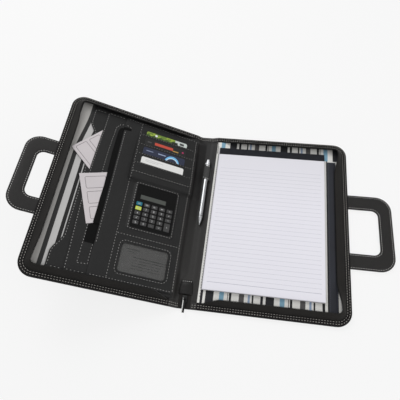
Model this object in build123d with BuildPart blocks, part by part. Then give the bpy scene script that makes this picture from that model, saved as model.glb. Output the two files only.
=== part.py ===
"""A zippered padfolio lying open: the back cover flat on the table with a writing pad,
the front cover raised at the spine fold with its pockets, cards and calculator.

Millimetres. +X runs across the open folio to the right, +Y along the spine away from the
reader, +Z up. The origin is on the table under the middle of the spine. On a cover, "u" is
the distance from its fold line outwards, "v" the distance along Y and "h" the height above
its underside.
"""
import os
from math import atan2, cos, radians, sin

from build123d import *

# Spine and folds
SPINE_W = 32.0           # fold line to fold line
SPINE_T = 4.0            # leather, padding and inner facing
FOLD_Z = 4.5             # height of both fold lines above the table
FOLD_GAP = 0.3           # a panel ends this far from its fold line
OPEN_ANGLE = 25.5        # the front cover stands this far above flat, in degrees

# Layers of a cover
SKIN_T = 1.2             # leather under the handle channel
HANDLE_T = 3.2
HANDLE_PLAY = 0.3        # all round the handle in its channel
BOARD_T = 2.0
LINING_T = 0.6
BORDER_STEP = 0.4        # border stands this far above the lining
SEAT_GAP = 0.2           # board and lining inside the border
BORDER_W = 12.0
CORNER_R = 26.0
EDGE_R = 2.4

# Zip halves: tape leaning inwards from the border, coil along its free edge
TAPE_T = 1.2
TAPE_INSET = 10.0        # foot of the tape from the cover's edge
TAPE_LEAN = 8.0          # the coil stands this much further in
COIL_W = 3.0
COIL_H = 2.2
COIL_GAP = 0.6           # between the two coils when the folio is shut
RAMP_START = 14.0        # near the spine the tape falls to the border over this run
RAMP_RUN = 30.0

# Writing pad
PAD_W = 210.0
PAD_H = 297.0
PAD_U = 12.5
CARD_BACK_T = 0.9
SHEETS_T = 5.5
BINDING_T = 0.4
BINDING_H = 15.0
PAD_SIDE = 6.5           # pad to trim strip
PAD_BELOW = 15.5         # pad to lower coil
PAD_ABOVE = 10.5         # pad to upper coil
TRIM_W = 16.0
TRIM_T = 1.2
TRIM_CLEAR = 2.0         # trim strip to coil
TRIM_BELOW = 19.0        # the strip runs past the pad's foot by this
TRIM_SHORT = 11.0        # and stops this short of its head

# Handles
HANDLE_L = 148.0         # along the cover's edge
HANDLE_V = -5.0          # middle of the handle along the edge
GRIP_W = 25.0
WINDOW_L = 88.0
WINDOW_U = 64.0          # depth of the finger window, stop bar to grip
STOP_BAR_W = 20.0
HANDLE_TRAVEL = 50.0
GRIP_CLEAR = 4.0         # grip to cover edge when pushed in
STOP_R = 3.0
STOP_SPREAD = 60.0
HANDLE_CORNER_R = 28.0
WINDOW_R = 12.0
HANDLE_EDGE_R = 1.2
RIGHT_PUSHED_IN = 0.0    # how far each handle is pushed in at rest
LEFT_PUSHED_IN = 27.0

# Pen and its loop
PEN_X = 7.0
PEN_R = 4.4
PEN_TIP_R = 0.6
PEN_ABOVE_LOOP = 7.0     # barrel's top beyond the loop
PEN_CONE = 16.0
PEN_L = 136.0            # tip to the barrel's top
PEN_NECK_R = 3.6
PEN_NECK = 4.0           # neck that carries the clip's collar
COLLAR_FIT = 0.02
CLIP_L = 36.0
CLIP_W = 2.8
CLIP_T = 0.9
CLIP_GAP = 1.7           # clip arm to barrel
CLIP_ANGLE = 135.0
BUTTON_R = 2.4
BUTTON_OUT = 10.0
BUTTON_IN = 5.0
BUTTON_BORE = 12.0
BUTTON_FIT = 0.05
LOOP_Y = 90.0
LOOP_L = 30.0
LOOP_T = 1.0
LOOP_FIT = 0.05
LOOP_FOOT_W = 11.0
LOOP_FOOT_T = 0.9

# Zip end on the spine
ZIP_X = 0.0
TAIL_W = 22.0
TAIL_T = 1.0
TAIL_L = 42.0
CHAIN_W = 4.0
CHAIN_H = 1.6
TAB_TOP_W = 21.0
TAB_FOOT_W = 24.0
TAB_L = 26.0
TAB_T = 1.2
TAB_SEAM = 7.0           # sewn part of the tab
TAB_CLEAR = 0.3          # tab over chain
TAB_FOOT = 24.5          # foot of the tab above the spine's lower end
SLIDER_L = 12.0
SLIDER_W = 9.0
SLIDER_ROOF = 1.5
SLIDER_FIT = 0.15
SLIDER_START = 2.0       # gap to the tab's foot
LUG_W = 3.0
LUG_L = 4.0
LUG_H = 3.6
PULL_PIN_R = 0.75
PULL_PIN_FIT = 0.05
PULL_W = 5.0
PULL_T = 1.4
PULL_L = 21.0
PULL_PLAY = 0.25
PULL_HOLE_L = 9.0
PULL_HOLE_W = 2.2

# Pockets of the front cover
POCKET_IN = 8.5          # inner edge of all panels from the fold line
POCKET_V = 162.0         # panels reach this far up and down
SEAM_W = 4.0
POCKET_TO_TAPE = 33.0    # mouth of the document pocket to the coil
MOUTH_EAR = 11.0         # panel reaches further out above and below the mouth
EAR_TOP = 34.0
EAR_FOOT = 37.0
EAR_R = 5.0
SLIP_BACK = 16.0         # mouth of the slip pocket behind the document pocket's
WELT_BACK = 54.0         # mouth of the organizer pocket behind it
DOCUMENT_GAP = 1.2
DOCUMENT_T = 1.0
SLIP_GAP = 0.9
SLIP_T = 0.8
ORGANIZER_GAP = 0.9
ORGANIZER_T = 1.0
COLUMN_W = 122.0

# Card slots and cards
SLOT_TOP = 135.0         # mouth of the uppermost slot
SLOT_PITCH = 22.2
SLOT_FOOT = 33.0
SLOT_SEAM = 3.0
STRIP_T = 0.6
CARD_W = 85.6
CARD_H = 54.0
SLIP_CARD_H = 45.0
CARD_T = 0.76
CARD_PLAY = 0.2
CARD_R = 3.2
CARD_U = 73.0
CARD_RISE = (10.0, 15.0, 15.5, 14.5)   # each card stands this far out of its slot

# Note sheets
NOTE_T = 0.3
NOTE_1_SIDE = 100.0
NOTE_1_TURN = 50.3
NOTE_1_OUT = 29.6        # its corner stands this far beyond the document pocket's mouth
NOTE_1_V = 63.0
NOTE_2_W = 50.0
NOTE_2_H = 95.0
NOTE_2_TURN = 21.7
NOTE_2_OUT = 2.7
NOTE_2_V = 12.9

# Calculator and card window
CALC_W = 76.0
CALC_H = 86.0
CALC_T = 4.4
CALC_U = 71.0
CALC_V = -18.0
CALC_WALL = 1.2
CALC_FIT = 0.2
CALC_R = 3.0
FRAME_W = 6.0
FRAME_RISE = 0.4         # leather frame above the calculator's face
KEY_W = 11.0
KEY_H = 7.0
KEY_PITCH_U = 14.6
KEY_PITCH_V = 9.3
KEY_R = 1.2
KEY_RISE = 0.9
KEY_FIT = 0.15
KEY_FLANGE = 0.5
KEY_FLANGE_T = 0.6
KEY_FLANGE_GAP = 0.2
KEYS_FOOT = 10.0         # lowest key row's middle above the case's lower edge
SCREEN_W = 50.0
SCREEN_H = 9.6
SCREEN_FIT = 0.2
SCREEN_SINK = 0.3
SCREEN_SIDE = 8.0        # screen to the case's left edge
SCREEN_TOP = 19.5        # screen to the case's upper edge
CIRCUIT_T = 0.8
CIRCUIT_GAP = 0.5
CELL_R = 5.8
CELL_T = 1.6
WINDOW_W = 86.0
WINDOW_H = 53.0
WINDOW_V = -117.5
WINDOW_CORNER = 7.0
FILM_T = 0.3
FILM_LAP = 3.0
ID_CARD_T = 0.5

# Heights of the layers above a cover's underside
BODY_T = SKIN_T + HANDLE_T + 2 * HANDLE_PLAY
LINING_TOP = BODY_T + BOARD_T + LINING_T
BORDER_TOP = LINING_TOP + BORDER_STEP
DOCUMENT_Z = LINING_TOP + DOCUMENT_GAP
SLIP_Z = DOCUMENT_Z + DOCUMENT_T + SLIP_GAP
ORGANIZER_Z = SLIP_Z + SLIP_T + ORGANIZER_GAP
ORGANIZER_TOP = ORGANIZER_Z + ORGANIZER_T
CALC_Z = SLIP_Z + SLIP_T
CALC_TOP = CALC_Z + CALC_T
PAD_TOP = LINING_TOP + CARD_BACK_T + SHEETS_T

# Plan sizes that follow from the pad and the margins round it
RIM_IN = TAPE_INSET + TAPE_LEAN + COIL_W - 1.0
COVER_W = PAD_U + PAD_W + PAD_SIDE + TRIM_W + TRIM_CLEAR + RIM_IN
COVER_H = PAD_H + PAD_BELOW + PAD_ABOVE + 2 * RIM_IN
PAD_V = -COVER_H / 2 + RIM_IN + PAD_BELOW + PAD_H / 2
RIM_H = FOLD_Z + SPINE_W / 2 - BORDER_TOP - COIL_GAP / 2
MOUTH_U = COVER_W - RIM_IN - POCKET_TO_TAPE
HANDLE_REACH = HANDLE_TRAVEL + GRIP_W + GRIP_CLEAR
HANDLE_DEPTH = STOP_BAR_W + WINDOW_U + GRIP_W
STOP_U = COVER_W + HANDLE_REACH - GRIP_W - WINDOW_U + STOP_R + HANDLE_PLAY
CHANNEL_U = COVER_W + HANDLE_REACH - HANDLE_DEPTH - HANDLE_TRAVEL - 2 * HANDLE_PLAY

os.makedirs("parts", exist_ok=True)


def right_at(height):
    """Working plane of the back cover: local x is u, local y is v."""
    return Plane(origin=(SPINE_W / 2, 0, height))


def left_at(height):
    """Working plane of the raised front cover: local x is -u, local y is v."""
    tilt = radians(OPEN_ANGLE)
    fold = Plane(
        origin=(-SPINE_W / 2, 0, FOLD_Z),
        x_dir=(cos(tilt), 0, -sin(tilt)),
        z_dir=(sin(tilt), 0, cos(tilt)),
    )
    return fold.offset(height - FOLD_Z)


def along_spine(x, y, z):
    """Working plane square to the spine: local x is X, local y is -Z, extrusions run along +Y."""
    return Plane(origin=(x, y, z), x_dir=(1, 0, 0), z_dir=(0, 1, 0))


def cover_outline(side, inset, start, mode=Mode.ADD):
    """Cover outline drawn into a sketch, from u = start out to the edge less an inset."""
    width = COVER_W - inset - start
    corner = max(CORNER_R - inset, 1.0)
    outline = make_outline(side * (start + width / 2), width, COVER_H - 2 * inset, side, corner)
    add(outline, mode=mode)


def make_outline(middle, width, height, side, corner):
    """Rectangle with the two corners of its outer side rounded."""
    with BuildSketch(mode=Mode.PRIVATE) as outline:
        with Locations((middle, 0)):
            Rectangle(width, height)
        fillet(outline.vertices().sort_by(Axis.X)[::side][2:], corner)
    return outline.sketch


def save(shape, name):
    """Label a finished piece and write it to its own file."""
    shape.label = name
    export_step(shape, f"parts/{name}.step")


# Both covers: shell with handle channel, board, lining, zip half and handle
for side, cover, at, pushed_in in (
    (1, "right", right_at, RIGHT_PUSHED_IN),
    (-1, "left", left_at, LEFT_PUSHED_IN),
):
    up = Axis(at(0).origin, at(0).z_dir)
    outwards = Axis(at(0).origin, at(0).x_dir * side)

    with BuildPart() as shell:
        with BuildSketch(at(0)):
            cover_outline(side, 0, FOLD_GAP)
        extrude(amount=BORDER_TOP)
        rims = shell.faces().sort_by(up)[0].edges().sort_by(outwards)[1:]
        rims += shell.faces().sort_by(up)[-1].edges().sort_by(outwards)[1:]
        fillet(rims, EDGE_R)
        with BuildSketch(at(BODY_T)):
            cover_outline(side, BORDER_W, -BORDER_W)
        extrude(amount=BORDER_TOP, mode=Mode.SUBTRACT)
        channel_depth = COVER_W + EDGE_R - CHANNEL_U
        with BuildSketch(at(SKIN_T)):
            with Locations((side * (CHANNEL_U + channel_depth / 2), HANDLE_V)):
                Rectangle(channel_depth, HANDLE_L + 2 * HANDLE_PLAY)
        extrude(amount=BODY_T - SKIN_T, mode=Mode.SUBTRACT)
        with BuildSketch(at(SKIN_T)):
            with Locations((side * STOP_U, HANDLE_V)):
                with GridLocations(0, STOP_SPREAD, 1, 2):
                    Circle(STOP_R)
        extrude(amount=BODY_T - SKIN_T)
    save(shell.part, f"{cover}_cover_shell")

    with BuildPart() as board:
        with BuildSketch(at(BODY_T)):
            cover_outline(side, BORDER_W + SEAT_GAP, FOLD_GAP)
        extrude(amount=BOARD_T)
    save(board.part, f"{cover}_cover_board")

    with BuildPart() as lining:
        with BuildSketch(at(BODY_T + BOARD_T)):
            cover_outline(side, BORDER_W + SEAT_GAP, FOLD_GAP)
        extrude(amount=LINING_T)
    save(lining.part, f"{cover}_lining")

    ramp_angle = atan2(RIM_H, RAMP_RUN)
    ramp_foot = at(BORDER_TOP)
    ramp = Plane(
        origin=ramp_foot.from_local_coords((side * RAMP_START, 0, 0)),
        z_dir=ramp_foot.x_dir * (side * sin(ramp_angle)) - ramp_foot.z_dir * cos(ramp_angle),
    )
    with BuildPart() as zip_half:
        with BuildSketch(at(BORDER_TOP)):
            cover_outline(side, TAPE_INSET, -COVER_W)
        with BuildSketch(at(BORDER_TOP + RIM_H)):
            cover_outline(side, TAPE_INSET + TAPE_LEAN, -COVER_W)
        loft()
        with BuildSketch(at(BORDER_TOP)):
            cover_outline(side, TAPE_INSET + TAPE_T, -COVER_W)
        with BuildSketch(at(BORDER_TOP + RIM_H)):
            cover_outline(side, TAPE_INSET + TAPE_LEAN + TAPE_T, -COVER_W)
        loft(mode=Mode.SUBTRACT)
        with BuildSketch(at(BORDER_TOP + RIM_H - COIL_H)):
            cover_outline(side, RIM_IN - COIL_W, -COVER_W)
            cover_outline(side, RIM_IN, -2 * COVER_W, mode=Mode.SUBTRACT)
        extrude(amount=COIL_H)
        split(bisect_by=ramp, keep=Keep.TOP)
    save(zip_half.part, f"{cover}_zip_half")

    grip_u = COVER_W + HANDLE_REACH - pushed_in
    with BuildPart() as handle:
        with BuildSketch(at(SKIN_T + HANDLE_PLAY)) as strap:
            with Locations((side * (grip_u - HANDLE_DEPTH / 2), HANDLE_V)):
                Rectangle(HANDLE_DEPTH, HANDLE_L)
            fillet(strap.vertices().sort_by(Axis.X)[::side][2:], HANDLE_CORNER_R)
            with Locations((side * (grip_u - GRIP_W - WINDOW_U / 2), HANDLE_V)):
                RectangleRounded(WINDOW_U, WINDOW_L, WINDOW_R, mode=Mode.SUBTRACT)
        extrude(amount=HANDLE_T)
        faces_apart = handle.faces().sort_by(up)
        fillet(faces_apart[0].edges() + faces_apart[-1].edges(), HANDLE_EDGE_R)
    save(handle.part, f"{cover}_handle")

# Trim strip along the back cover's outer side
with BuildPart() as trim:
    trim_foot = PAD_V - PAD_H / 2 - TRIM_BELOW
    trim_head = PAD_V + PAD_H / 2 - TRIM_SHORT
    with BuildSketch(right_at(LINING_TOP)):
        with Locations((PAD_U + PAD_W + PAD_SIDE + TRIM_W / 2, (trim_foot + trim_head) / 2)):
            Rectangle(TRIM_W, trim_head - trim_foot)
    extrude(amount=TRIM_T)
save(trim.part, "pad_pocket_trim")

# Writing pad: backing card, block of sheets and the binding over its head
with BuildPart() as pad_card:
    with BuildSketch(right_at(LINING_TOP)):
        with Locations((PAD_U + PAD_W / 2, PAD_V)):
            Rectangle(PAD_W, PAD_H)
    extrude(amount=CARD_BACK_T)
save(pad_card.part, "pad_backing_card")

with BuildPart() as sheets:
    with BuildSketch(right_at(LINING_TOP + CARD_BACK_T)):
        with Locations((PAD_U + PAD_W / 2, PAD_V)):
            Rectangle(PAD_W, PAD_H)
    extrude(amount=SHEETS_T)
save(sheets.part, "pad_sheets")

with BuildPart() as binding:
    head = PAD_V + PAD_H / 2
    with BuildSketch(right_at(PAD_TOP)):
        with Locations((PAD_U + PAD_W / 2, head + BINDING_T)):
            Rectangle(PAD_W, BINDING_H + BINDING_T, align=(Align.CENTER, Align.MAX))
    extrude(amount=BINDING_T)
    with BuildSketch(right_at(LINING_TOP)):
        with Locations((PAD_U + PAD_W / 2, head)):
            Rectangle(PAD_W, BINDING_T, align=(Align.CENTER, Align.MIN))
    extrude(amount=PAD_TOP - LINING_TOP)
save(binding.part, "pad_binding")

# Spine panel
with BuildPart() as spine:
    with BuildSketch():
        Rectangle(SPINE_W - 2 * FOLD_GAP, COVER_H)
    extrude(amount=SPINE_T)
    fillet(spine.edges().filter_by(Axis.X), SPINE_T / 3)
save(spine.part, "spine_panel")

# Elastic pen loop, a band round the pen with a sewn foot
PEN_Z = SPINE_T + LOOP_T + LOOP_FIT + PEN_R
PEN_TIP_Y = LOOP_Y + LOOP_L / 2 + PEN_ABOVE_LOOP - PEN_L
with BuildPart() as loop:
    with BuildSketch(along_spine(PEN_X, LOOP_Y - LOOP_L / 2, PEN_Z)):
        Circle(PEN_R + LOOP_FIT + LOOP_T)
        with Locations((0, PEN_Z - SPINE_T)):
            Rectangle(LOOP_FOOT_W, LOOP_FOOT_T, align=(Align.CENTER, Align.MAX))
        Circle(PEN_R + LOOP_FIT, mode=Mode.SUBTRACT)
    extrude(amount=LOOP_L)
save(loop.part, "pen_loop")

# Ball pen: turned barrel with its tip, clip on a collar, push button
pen_axis = Axis((PEN_X, 0, PEN_Z), (0, 1, 0))
pen_top = PEN_TIP_Y + PEN_L
with BuildPart() as barrel:
    with BuildSketch(Plane(origin=(PEN_X, 0, PEN_Z), x_dir=(0, 1, 0), z_dir=(1, 0, 0))):
        with BuildLine():
            Polyline(
                (PEN_TIP_Y, 0),
                (PEN_TIP_Y, PEN_TIP_R),
                (PEN_TIP_Y + PEN_CONE, PEN_R),
                (pen_top - PEN_NECK, PEN_R),
                (pen_top - PEN_NECK, PEN_NECK_R),
                (pen_top, PEN_NECK_R),
                (pen_top, BUTTON_R + BUTTON_FIT),
                (pen_top - BUTTON_BORE, BUTTON_R + BUTTON_FIT),
                (pen_top - BUTTON_BORE, 0),
                close=True,
            )
        make_face()
    revolve(axis=pen_axis)
save(barrel.part, "pen_barrel")

with BuildPart() as clip:
    with BuildSketch(along_spine(PEN_X, pen_top - PEN_NECK, PEN_Z)):
        Circle(PEN_R)
        arm = PEN_R + CLIP_GAP + CLIP_T
        with Locations(Location((0, 0), -CLIP_ANGLE)):
            Rectangle(arm, CLIP_W, align=(Align.MIN, Align.CENTER))
        Circle(PEN_NECK_R + COLLAR_FIT, mode=Mode.SUBTRACT)
    extrude(amount=PEN_NECK)
    with BuildSketch(along_spine(PEN_X, pen_top - CLIP_L, PEN_Z)):
        with Locations(Location((0, 0), -CLIP_ANGLE)):
            with Locations((PEN_R + CLIP_GAP, 0)):
                Rectangle(CLIP_T, CLIP_W, align=(Align.MIN, Align.CENTER))
    extrude(amount=CLIP_L)
save(clip.part, "pen_clip")

with BuildPart() as button:
    with BuildSketch(along_spine(PEN_X, pen_top - BUTTON_IN, PEN_Z)):
        Circle(BUTTON_R)
    extrude(amount=BUTTON_IN + BUTTON_OUT)
    fillet(button.edges().sort_by(Axis.Y)[-1], BUTTON_R / 3)
save(button.part, "pen_button")

# Zip end on the spine: tail of the tapes with its chain, leather tab, slider and pull
SPINE_FOOT = -COVER_H / 2
TAIL_TOP = SPINE_T + TAIL_T
CHAIN_TOP = TAIL_TOP + CHAIN_H
with BuildPart() as tail:
    with BuildSketch(Plane.XY.offset(SPINE_T)):
        with Locations((ZIP_X, SPINE_FOOT + SPINE_T / 3)):
            Rectangle(TAIL_W, TAIL_L, align=(Align.CENTER, Align.MIN))
    extrude(amount=TAIL_T)
    with BuildSketch(Plane.XY.offset(TAIL_TOP)):
        with Locations((ZIP_X, SPINE_FOOT + SPINE_T / 3)):
            Rectangle(CHAIN_W, TAIL_L, align=(Align.CENTER, Align.MIN))
    extrude(amount=CHAIN_H)
save(tail.part, "zip_tail")

tab_foot_y = SPINE_FOOT + TAB_FOOT
tab_head_y = tab_foot_y + TAB_L
with BuildPart() as tab:
    with BuildSketch(Plane.XY.offset(CHAIN_TOP + TAB_CLEAR)):
        with BuildLine():
            Polyline(
                (ZIP_X - TAB_FOOT_W / 2, tab_foot_y),
                (ZIP_X + TAB_FOOT_W / 2, tab_foot_y),
                (ZIP_X + TAB_TOP_W / 2, tab_head_y),
                (ZIP_X - TAB_TOP_W / 2, tab_head_y),
                close=True,
            )
        make_face()
    extrude(amount=TAB_T)
    with BuildSketch(Plane.XY.offset(SPINE_T)):
        with Locations((ZIP_X, tab_head_y)):
            Rectangle(TAB_TOP_W, TAB_SEAM, align=(Align.CENTER, Align.MAX))
    extrude(amount=CHAIN_TOP + TAB_CLEAR + TAB_T / 2 - SPINE_T)
save(tab.part, "zip_end_tab")

slider_head = tab_foot_y - SLIDER_START
slider_middle = slider_head - SLIDER_L / 2
ROOF_Z = CHAIN_TOP + SLIDER_FIT
PIVOT_Z = ROOF_Z + SLIDER_ROOF + LUG_H / 2
with BuildPart() as slider:
    with BuildSketch(Plane.XY.offset(TAIL_TOP + SLIDER_FIT)):
        with Locations((ZIP_X, slider_middle)):
            RectangleRounded(SLIDER_W, SLIDER_L, SLIDER_W / 4)
            Rectangle(CHAIN_W + 2 * SLIDER_FIT, SLIDER_L, mode=Mode.SUBTRACT)
    extrude(amount=ROOF_Z - TAIL_TOP - SLIDER_FIT)
    with BuildSketch(Plane.XY.offset(ROOF_Z)):
        with Locations((ZIP_X, slider_middle)):
            RectangleRounded(SLIDER_W, SLIDER_L, SLIDER_W / 4)
    extrude(amount=SLIDER_ROOF)
    with BuildSketch(Plane.XY.offset(ROOF_Z + SLIDER_ROOF)):
        with Locations((ZIP_X, slider_middle)):
            Rectangle(LUG_W, LUG_L)
    extrude(amount=LUG_H)
    with BuildSketch(Plane(origin=(ZIP_X - LUG_W, slider_middle, PIVOT_Z), z_dir=(1, 0, 0))):
        Circle(PULL_PIN_R + PULL_PIN_FIT)
    extrude(amount=2 * LUG_W, mode=Mode.SUBTRACT)
save(slider.part, "zip_slider")

ear_in = LUG_W / 2 + PULL_PLAY
arm_head = slider_middle - LUG_L / 2 - PULL_T
with BuildPart() as pull:
    with BuildSketch(Plane.XY.offset(PIVOT_Z - PULL_T / 2)):
        with Locations((ZIP_X, arm_head)):
            Rectangle(PULL_W, PULL_L, align=(Align.CENTER, Align.MAX))
        with Locations((ZIP_X, arm_head - PULL_L + PULL_HOLE_L / 2 + PULL_T)):
            SlotOverall(PULL_HOLE_L, PULL_HOLE_W, rotation=90, mode=Mode.SUBTRACT)
        ear_w = PULL_W / 2 - ear_in
        for ear_side in (-1, 1):
            with Locations((ZIP_X + ear_side * (ear_in + ear_w / 2), arm_head)):
                Rectangle(ear_w, slider_middle + PULL_T - arm_head, align=(Align.CENTER, Align.MIN))
    extrude(amount=PULL_T)
    with BuildSketch(Plane(origin=(ZIP_X - PULL_W / 2, slider_middle, PIVOT_Z), z_dir=(1, 0, 0))):
        Circle(min(PULL_PIN_R, PULL_T / 2))
    extrude(amount=PULL_W)
save(pull.part, "zip_pull")


# Document pocket panel: its mouth is cut back between two ears
with BuildPart() as document:
    half = POCKET_V
    with BuildSketch(left_at(LINING_TOP)):
        with Locations((-POCKET_IN, 0)):
            Rectangle(MOUTH_U - POCKET_IN, 2 * half, align=(Align.MAX, Align.CENTER))
        with Locations((-POCKET_IN - SEAM_W, 0)):
            Rectangle(
                MOUTH_U, 2 * (half - SEAM_W), align=(Align.MAX, Align.CENTER), mode=Mode.SUBTRACT
            )
    extrude(amount=DOCUMENT_GAP)
    with BuildSketch(left_at(DOCUMENT_Z)) as panel:
        with Locations((-POCKET_IN, 0)):
            Rectangle(MOUTH_U - POCKET_IN, 2 * half, align=(Align.MAX, Align.CENTER))
        with Locations((-POCKET_IN, half)):
            Rectangle(MOUTH_U + MOUTH_EAR - POCKET_IN, EAR_TOP, align=(Align.MAX, Align.MAX))
        with Locations((-POCKET_IN, -half)):
            Rectangle(MOUTH_U + MOUTH_EAR - POCKET_IN, EAR_FOOT, align=(Align.MAX, Align.MIN))
        fillet(panel.vertices().sort_by(Axis.X)[:6], EAR_R)
    extrude(amount=DOCUMENT_T)
save(document.part, "document_pocket_panel")

# Slip pocket panel on it, open towards the cover's outer edge
slip_w = MOUTH_U - SLIP_BACK - POCKET_IN
with BuildPart() as slip:
    with BuildSketch(left_at(DOCUMENT_Z + DOCUMENT_T)):
        with Locations((-POCKET_IN, 0)):
            Rectangle(slip_w, 2 * POCKET_V, align=(Align.MAX, Align.CENTER))
        with Locations((-POCKET_IN - SEAM_W, 0)):
            Rectangle(
                slip_w, 2 * (POCKET_V - SEAM_W), align=(Align.MAX, Align.CENTER), mode=Mode.SUBTRACT
            )
    extrude(amount=SLIP_GAP)
    with BuildSketch(left_at(SLIP_Z)):
        with Locations((-POCKET_IN, 0)):
            Rectangle(slip_w, 2 * POCKET_V, align=(Align.MAX, Align.CENTER))
    extrude(amount=SLIP_T)
save(slip.part, "slip_pocket_panel")

# Organizer panel: slit pocket at its outer edge, calculator frame and card window
organizer_w = MOUTH_U - WELT_BACK - POCKET_IN
with BuildPart() as organizer:
    with BuildSketch(left_at(CALC_Z)):
        with Locations((-POCKET_IN, 0)):
            Rectangle(organizer_w, 2 * POCKET_V, align=(Align.MAX, Align.CENTER))
        with Locations((-POCKET_IN - SEAM_W, 0)):
            Rectangle(
                organizer_w, 2 * (POCKET_V - SEAM_W), align=(Align.MAX, Align.CENTER),
                mode=Mode.SUBTRACT,
            )
    extrude(amount=ORGANIZER_GAP)
    with BuildSketch(left_at(ORGANIZER_Z)):
        with Locations((-POCKET_IN, 0)):
            Rectangle(organizer_w, 2 * POCKET_V, align=(Align.MAX, Align.CENTER))
        with Locations((-CALC_U, WINDOW_V)):
            RectangleRounded(WINDOW_W, WINDOW_H, WINDOW_CORNER, mode=Mode.SUBTRACT)
    extrude(amount=ORGANIZER_T)
    with BuildSketch(left_at(ORGANIZER_TOP)):
        with Locations((-CALC_U, CALC_V)):
            RectangleRounded(CALC_W + 2 * FRAME_W, CALC_H + 2 * FRAME_W, CALC_R + FRAME_W)
    extrude(amount=CALC_TOP + FRAME_RISE - ORGANIZER_TOP)
    with BuildSketch(left_at(CALC_Z)):
        with Locations((-CALC_U, CALC_V)):
            RectangleRounded(CALC_W + 2 * CALC_FIT, CALC_H + 2 * CALC_FIT, CALC_R + CALC_FIT)
    extrude(amount=CALC_T + FRAME_RISE, mode=Mode.SUBTRACT)
save(organizer.part, "organizer_panel")

# Card slots stepped down the column: each strip is sewn at its sides and foot
slot_step = CARD_T + 2 * CARD_PLAY + STRIP_T
strips = []
for step, rise in enumerate(CARD_RISE):
    base = ORGANIZER_TOP + step * slot_step
    mouth = SLOT_TOP - step * SLOT_PITCH
    with BuildPart() as strip:
        with BuildSketch(left_at(base)):
            with Locations((-POCKET_IN, SLOT_FOOT)):
                Rectangle(COLUMN_W, mouth - SLOT_FOOT, align=(Align.MAX, Align.MIN))
            with Locations((-POCKET_IN - COLUMN_W / 2, SLOT_FOOT + SLOT_SEAM)):
                Rectangle(
                    COLUMN_W - 2 * SLOT_SEAM, mouth, align=(Align.CENTER, Align.MIN),
                    mode=Mode.SUBTRACT,
                )
        extrude(amount=slot_step - STRIP_T)
        with BuildSketch(left_at(base + slot_step - STRIP_T)):
            with Locations((-POCKET_IN, SLOT_FOOT)):
                Rectangle(COLUMN_W, mouth - SLOT_FOOT, align=(Align.MAX, Align.MIN))
        extrude(amount=STRIP_T)
    strips.append(strip.part)

    height = SLIP_CARD_H if step == len(CARD_RISE) - 1 else CARD_H
    with BuildPart() as card:
        with BuildSketch(left_at(base + CARD_PLAY)):
            with Locations((-CARD_U, mouth + rise - height / 2)):
                RectangleRounded(CARD_W, height, CARD_R)
        extrude(amount=CARD_T)
    save(card.part, f"card_{step + 1}")
save(Compound(children=strips), "card_slot_strips")

# Note sheets: a square one cornerwise in the slip pocket, a form in the slit pocket
with BuildPart() as note_1:
    with BuildSketch(left_at(SLIP_Z - SLIP_GAP / 2 - NOTE_T / 2)):
        with Locations(Location((-MOUTH_U - NOTE_1_OUT, NOTE_1_V), NOTE_1_TURN)):
            Rectangle(NOTE_1_SIDE, NOTE_1_SIDE, align=(Align.MIN, Align.MAX))
    extrude(amount=NOTE_T)
save(note_1.part, "note_sheet_1")

with BuildPart() as note_2:
    with BuildSketch(left_at(ORGANIZER_Z - ORGANIZER_GAP / 2 - NOTE_T / 2)):
        with Locations(Location((-MOUTH_U - NOTE_2_OUT, NOTE_2_V), NOTE_2_TURN)):
            Rectangle(NOTE_2_W, NOTE_2_H, align=(Align.MIN, Align.MAX))
    extrude(amount=NOTE_T)
save(note_2.part, "note_sheet_2")

# Card window: clear film under the panel and a card behind it
with BuildPart() as film:
    with BuildSketch(left_at(ORGANIZER_Z - FILM_T)):
        with Locations((-CALC_U, WINDOW_V)):
            Rectangle(WINDOW_W + 2 * FILM_LAP, WINDOW_H + 2 * FILM_LAP)
    extrude(amount=FILM_T)
with BuildPart() as id_card:
    with BuildSketch(left_at(CALC_Z)):
        with Locations((-CALC_U, WINDOW_V)):
            Rectangle(WINDOW_W + FILM_LAP, WINDOW_H + FILM_LAP)
    extrude(amount=ID_CARD_T)
save(Compound(children=[film.part, id_card.part]), "id_window")

# Calculator keys by row from the top; the last column's lowest key is two rows tall
KEY_NAMES = (
    ("all_clear", "memory_recall", "memory_minus", "memory_plus", "divide"),
    ("clear", "7", "8", "9", "times"),
    ("sign", "4", "5", "6", "minus"),
    ("root", "1", "2", "3", "plus"),
    ("percent", "0", "point", "equals"),
)
columns = len(KEY_NAMES[0])
rows = len(KEY_NAMES)
keys = {}
for row, names in enumerate(KEY_NAMES):
    for column, name in enumerate(names):
        u_local = -CALC_U + (column - (columns - 1) / 2) * KEY_PITCH_U
        v_local = CALC_V - CALC_H / 2 + KEYS_FOOT + (rows - 1 - row) * KEY_PITCH_V
        tall = column == columns - 1 and row == rows - 2
        drop = KEY_PITCH_V if tall else 0
        keys[name] = (u_local, v_local - drop / 2, KEY_H + drop)

screen_u = -CALC_U - CALC_W / 2 + SCREEN_SIDE + SCREEN_W / 2
screen_v = CALC_V + CALC_H / 2 - SCREEN_TOP - SCREEN_H / 2
with BuildPart() as case:
    with BuildSketch(left_at(CALC_Z)):
        with Locations((-CALC_U, CALC_V)):
            RectangleRounded(CALC_W, CALC_H, CALC_R)
    extrude(amount=CALC_T)
    with BuildSketch(left_at(CALC_Z)):
        with Locations((-CALC_U, CALC_V)):
            Rectangle(CALC_W - 2 * CALC_WALL, CALC_H - 2 * CALC_WALL)
    extrude(amount=CALC_T - CALC_WALL, mode=Mode.SUBTRACT)
    with BuildSketch(left_at(CALC_Z)):
        for u_local, v_local, height in keys.values():
            with Locations((u_local, v_local)):
                RectangleRounded(KEY_W + 2 * KEY_FIT, height + 2 * KEY_FIT, KEY_R + KEY_FIT)
        with Locations((screen_u, screen_v)):
            Rectangle(SCREEN_W + 2 * SCREEN_FIT, SCREEN_H + 2 * SCREEN_FIT)
    extrude(amount=CALC_T, mode=Mode.SUBTRACT)
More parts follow.
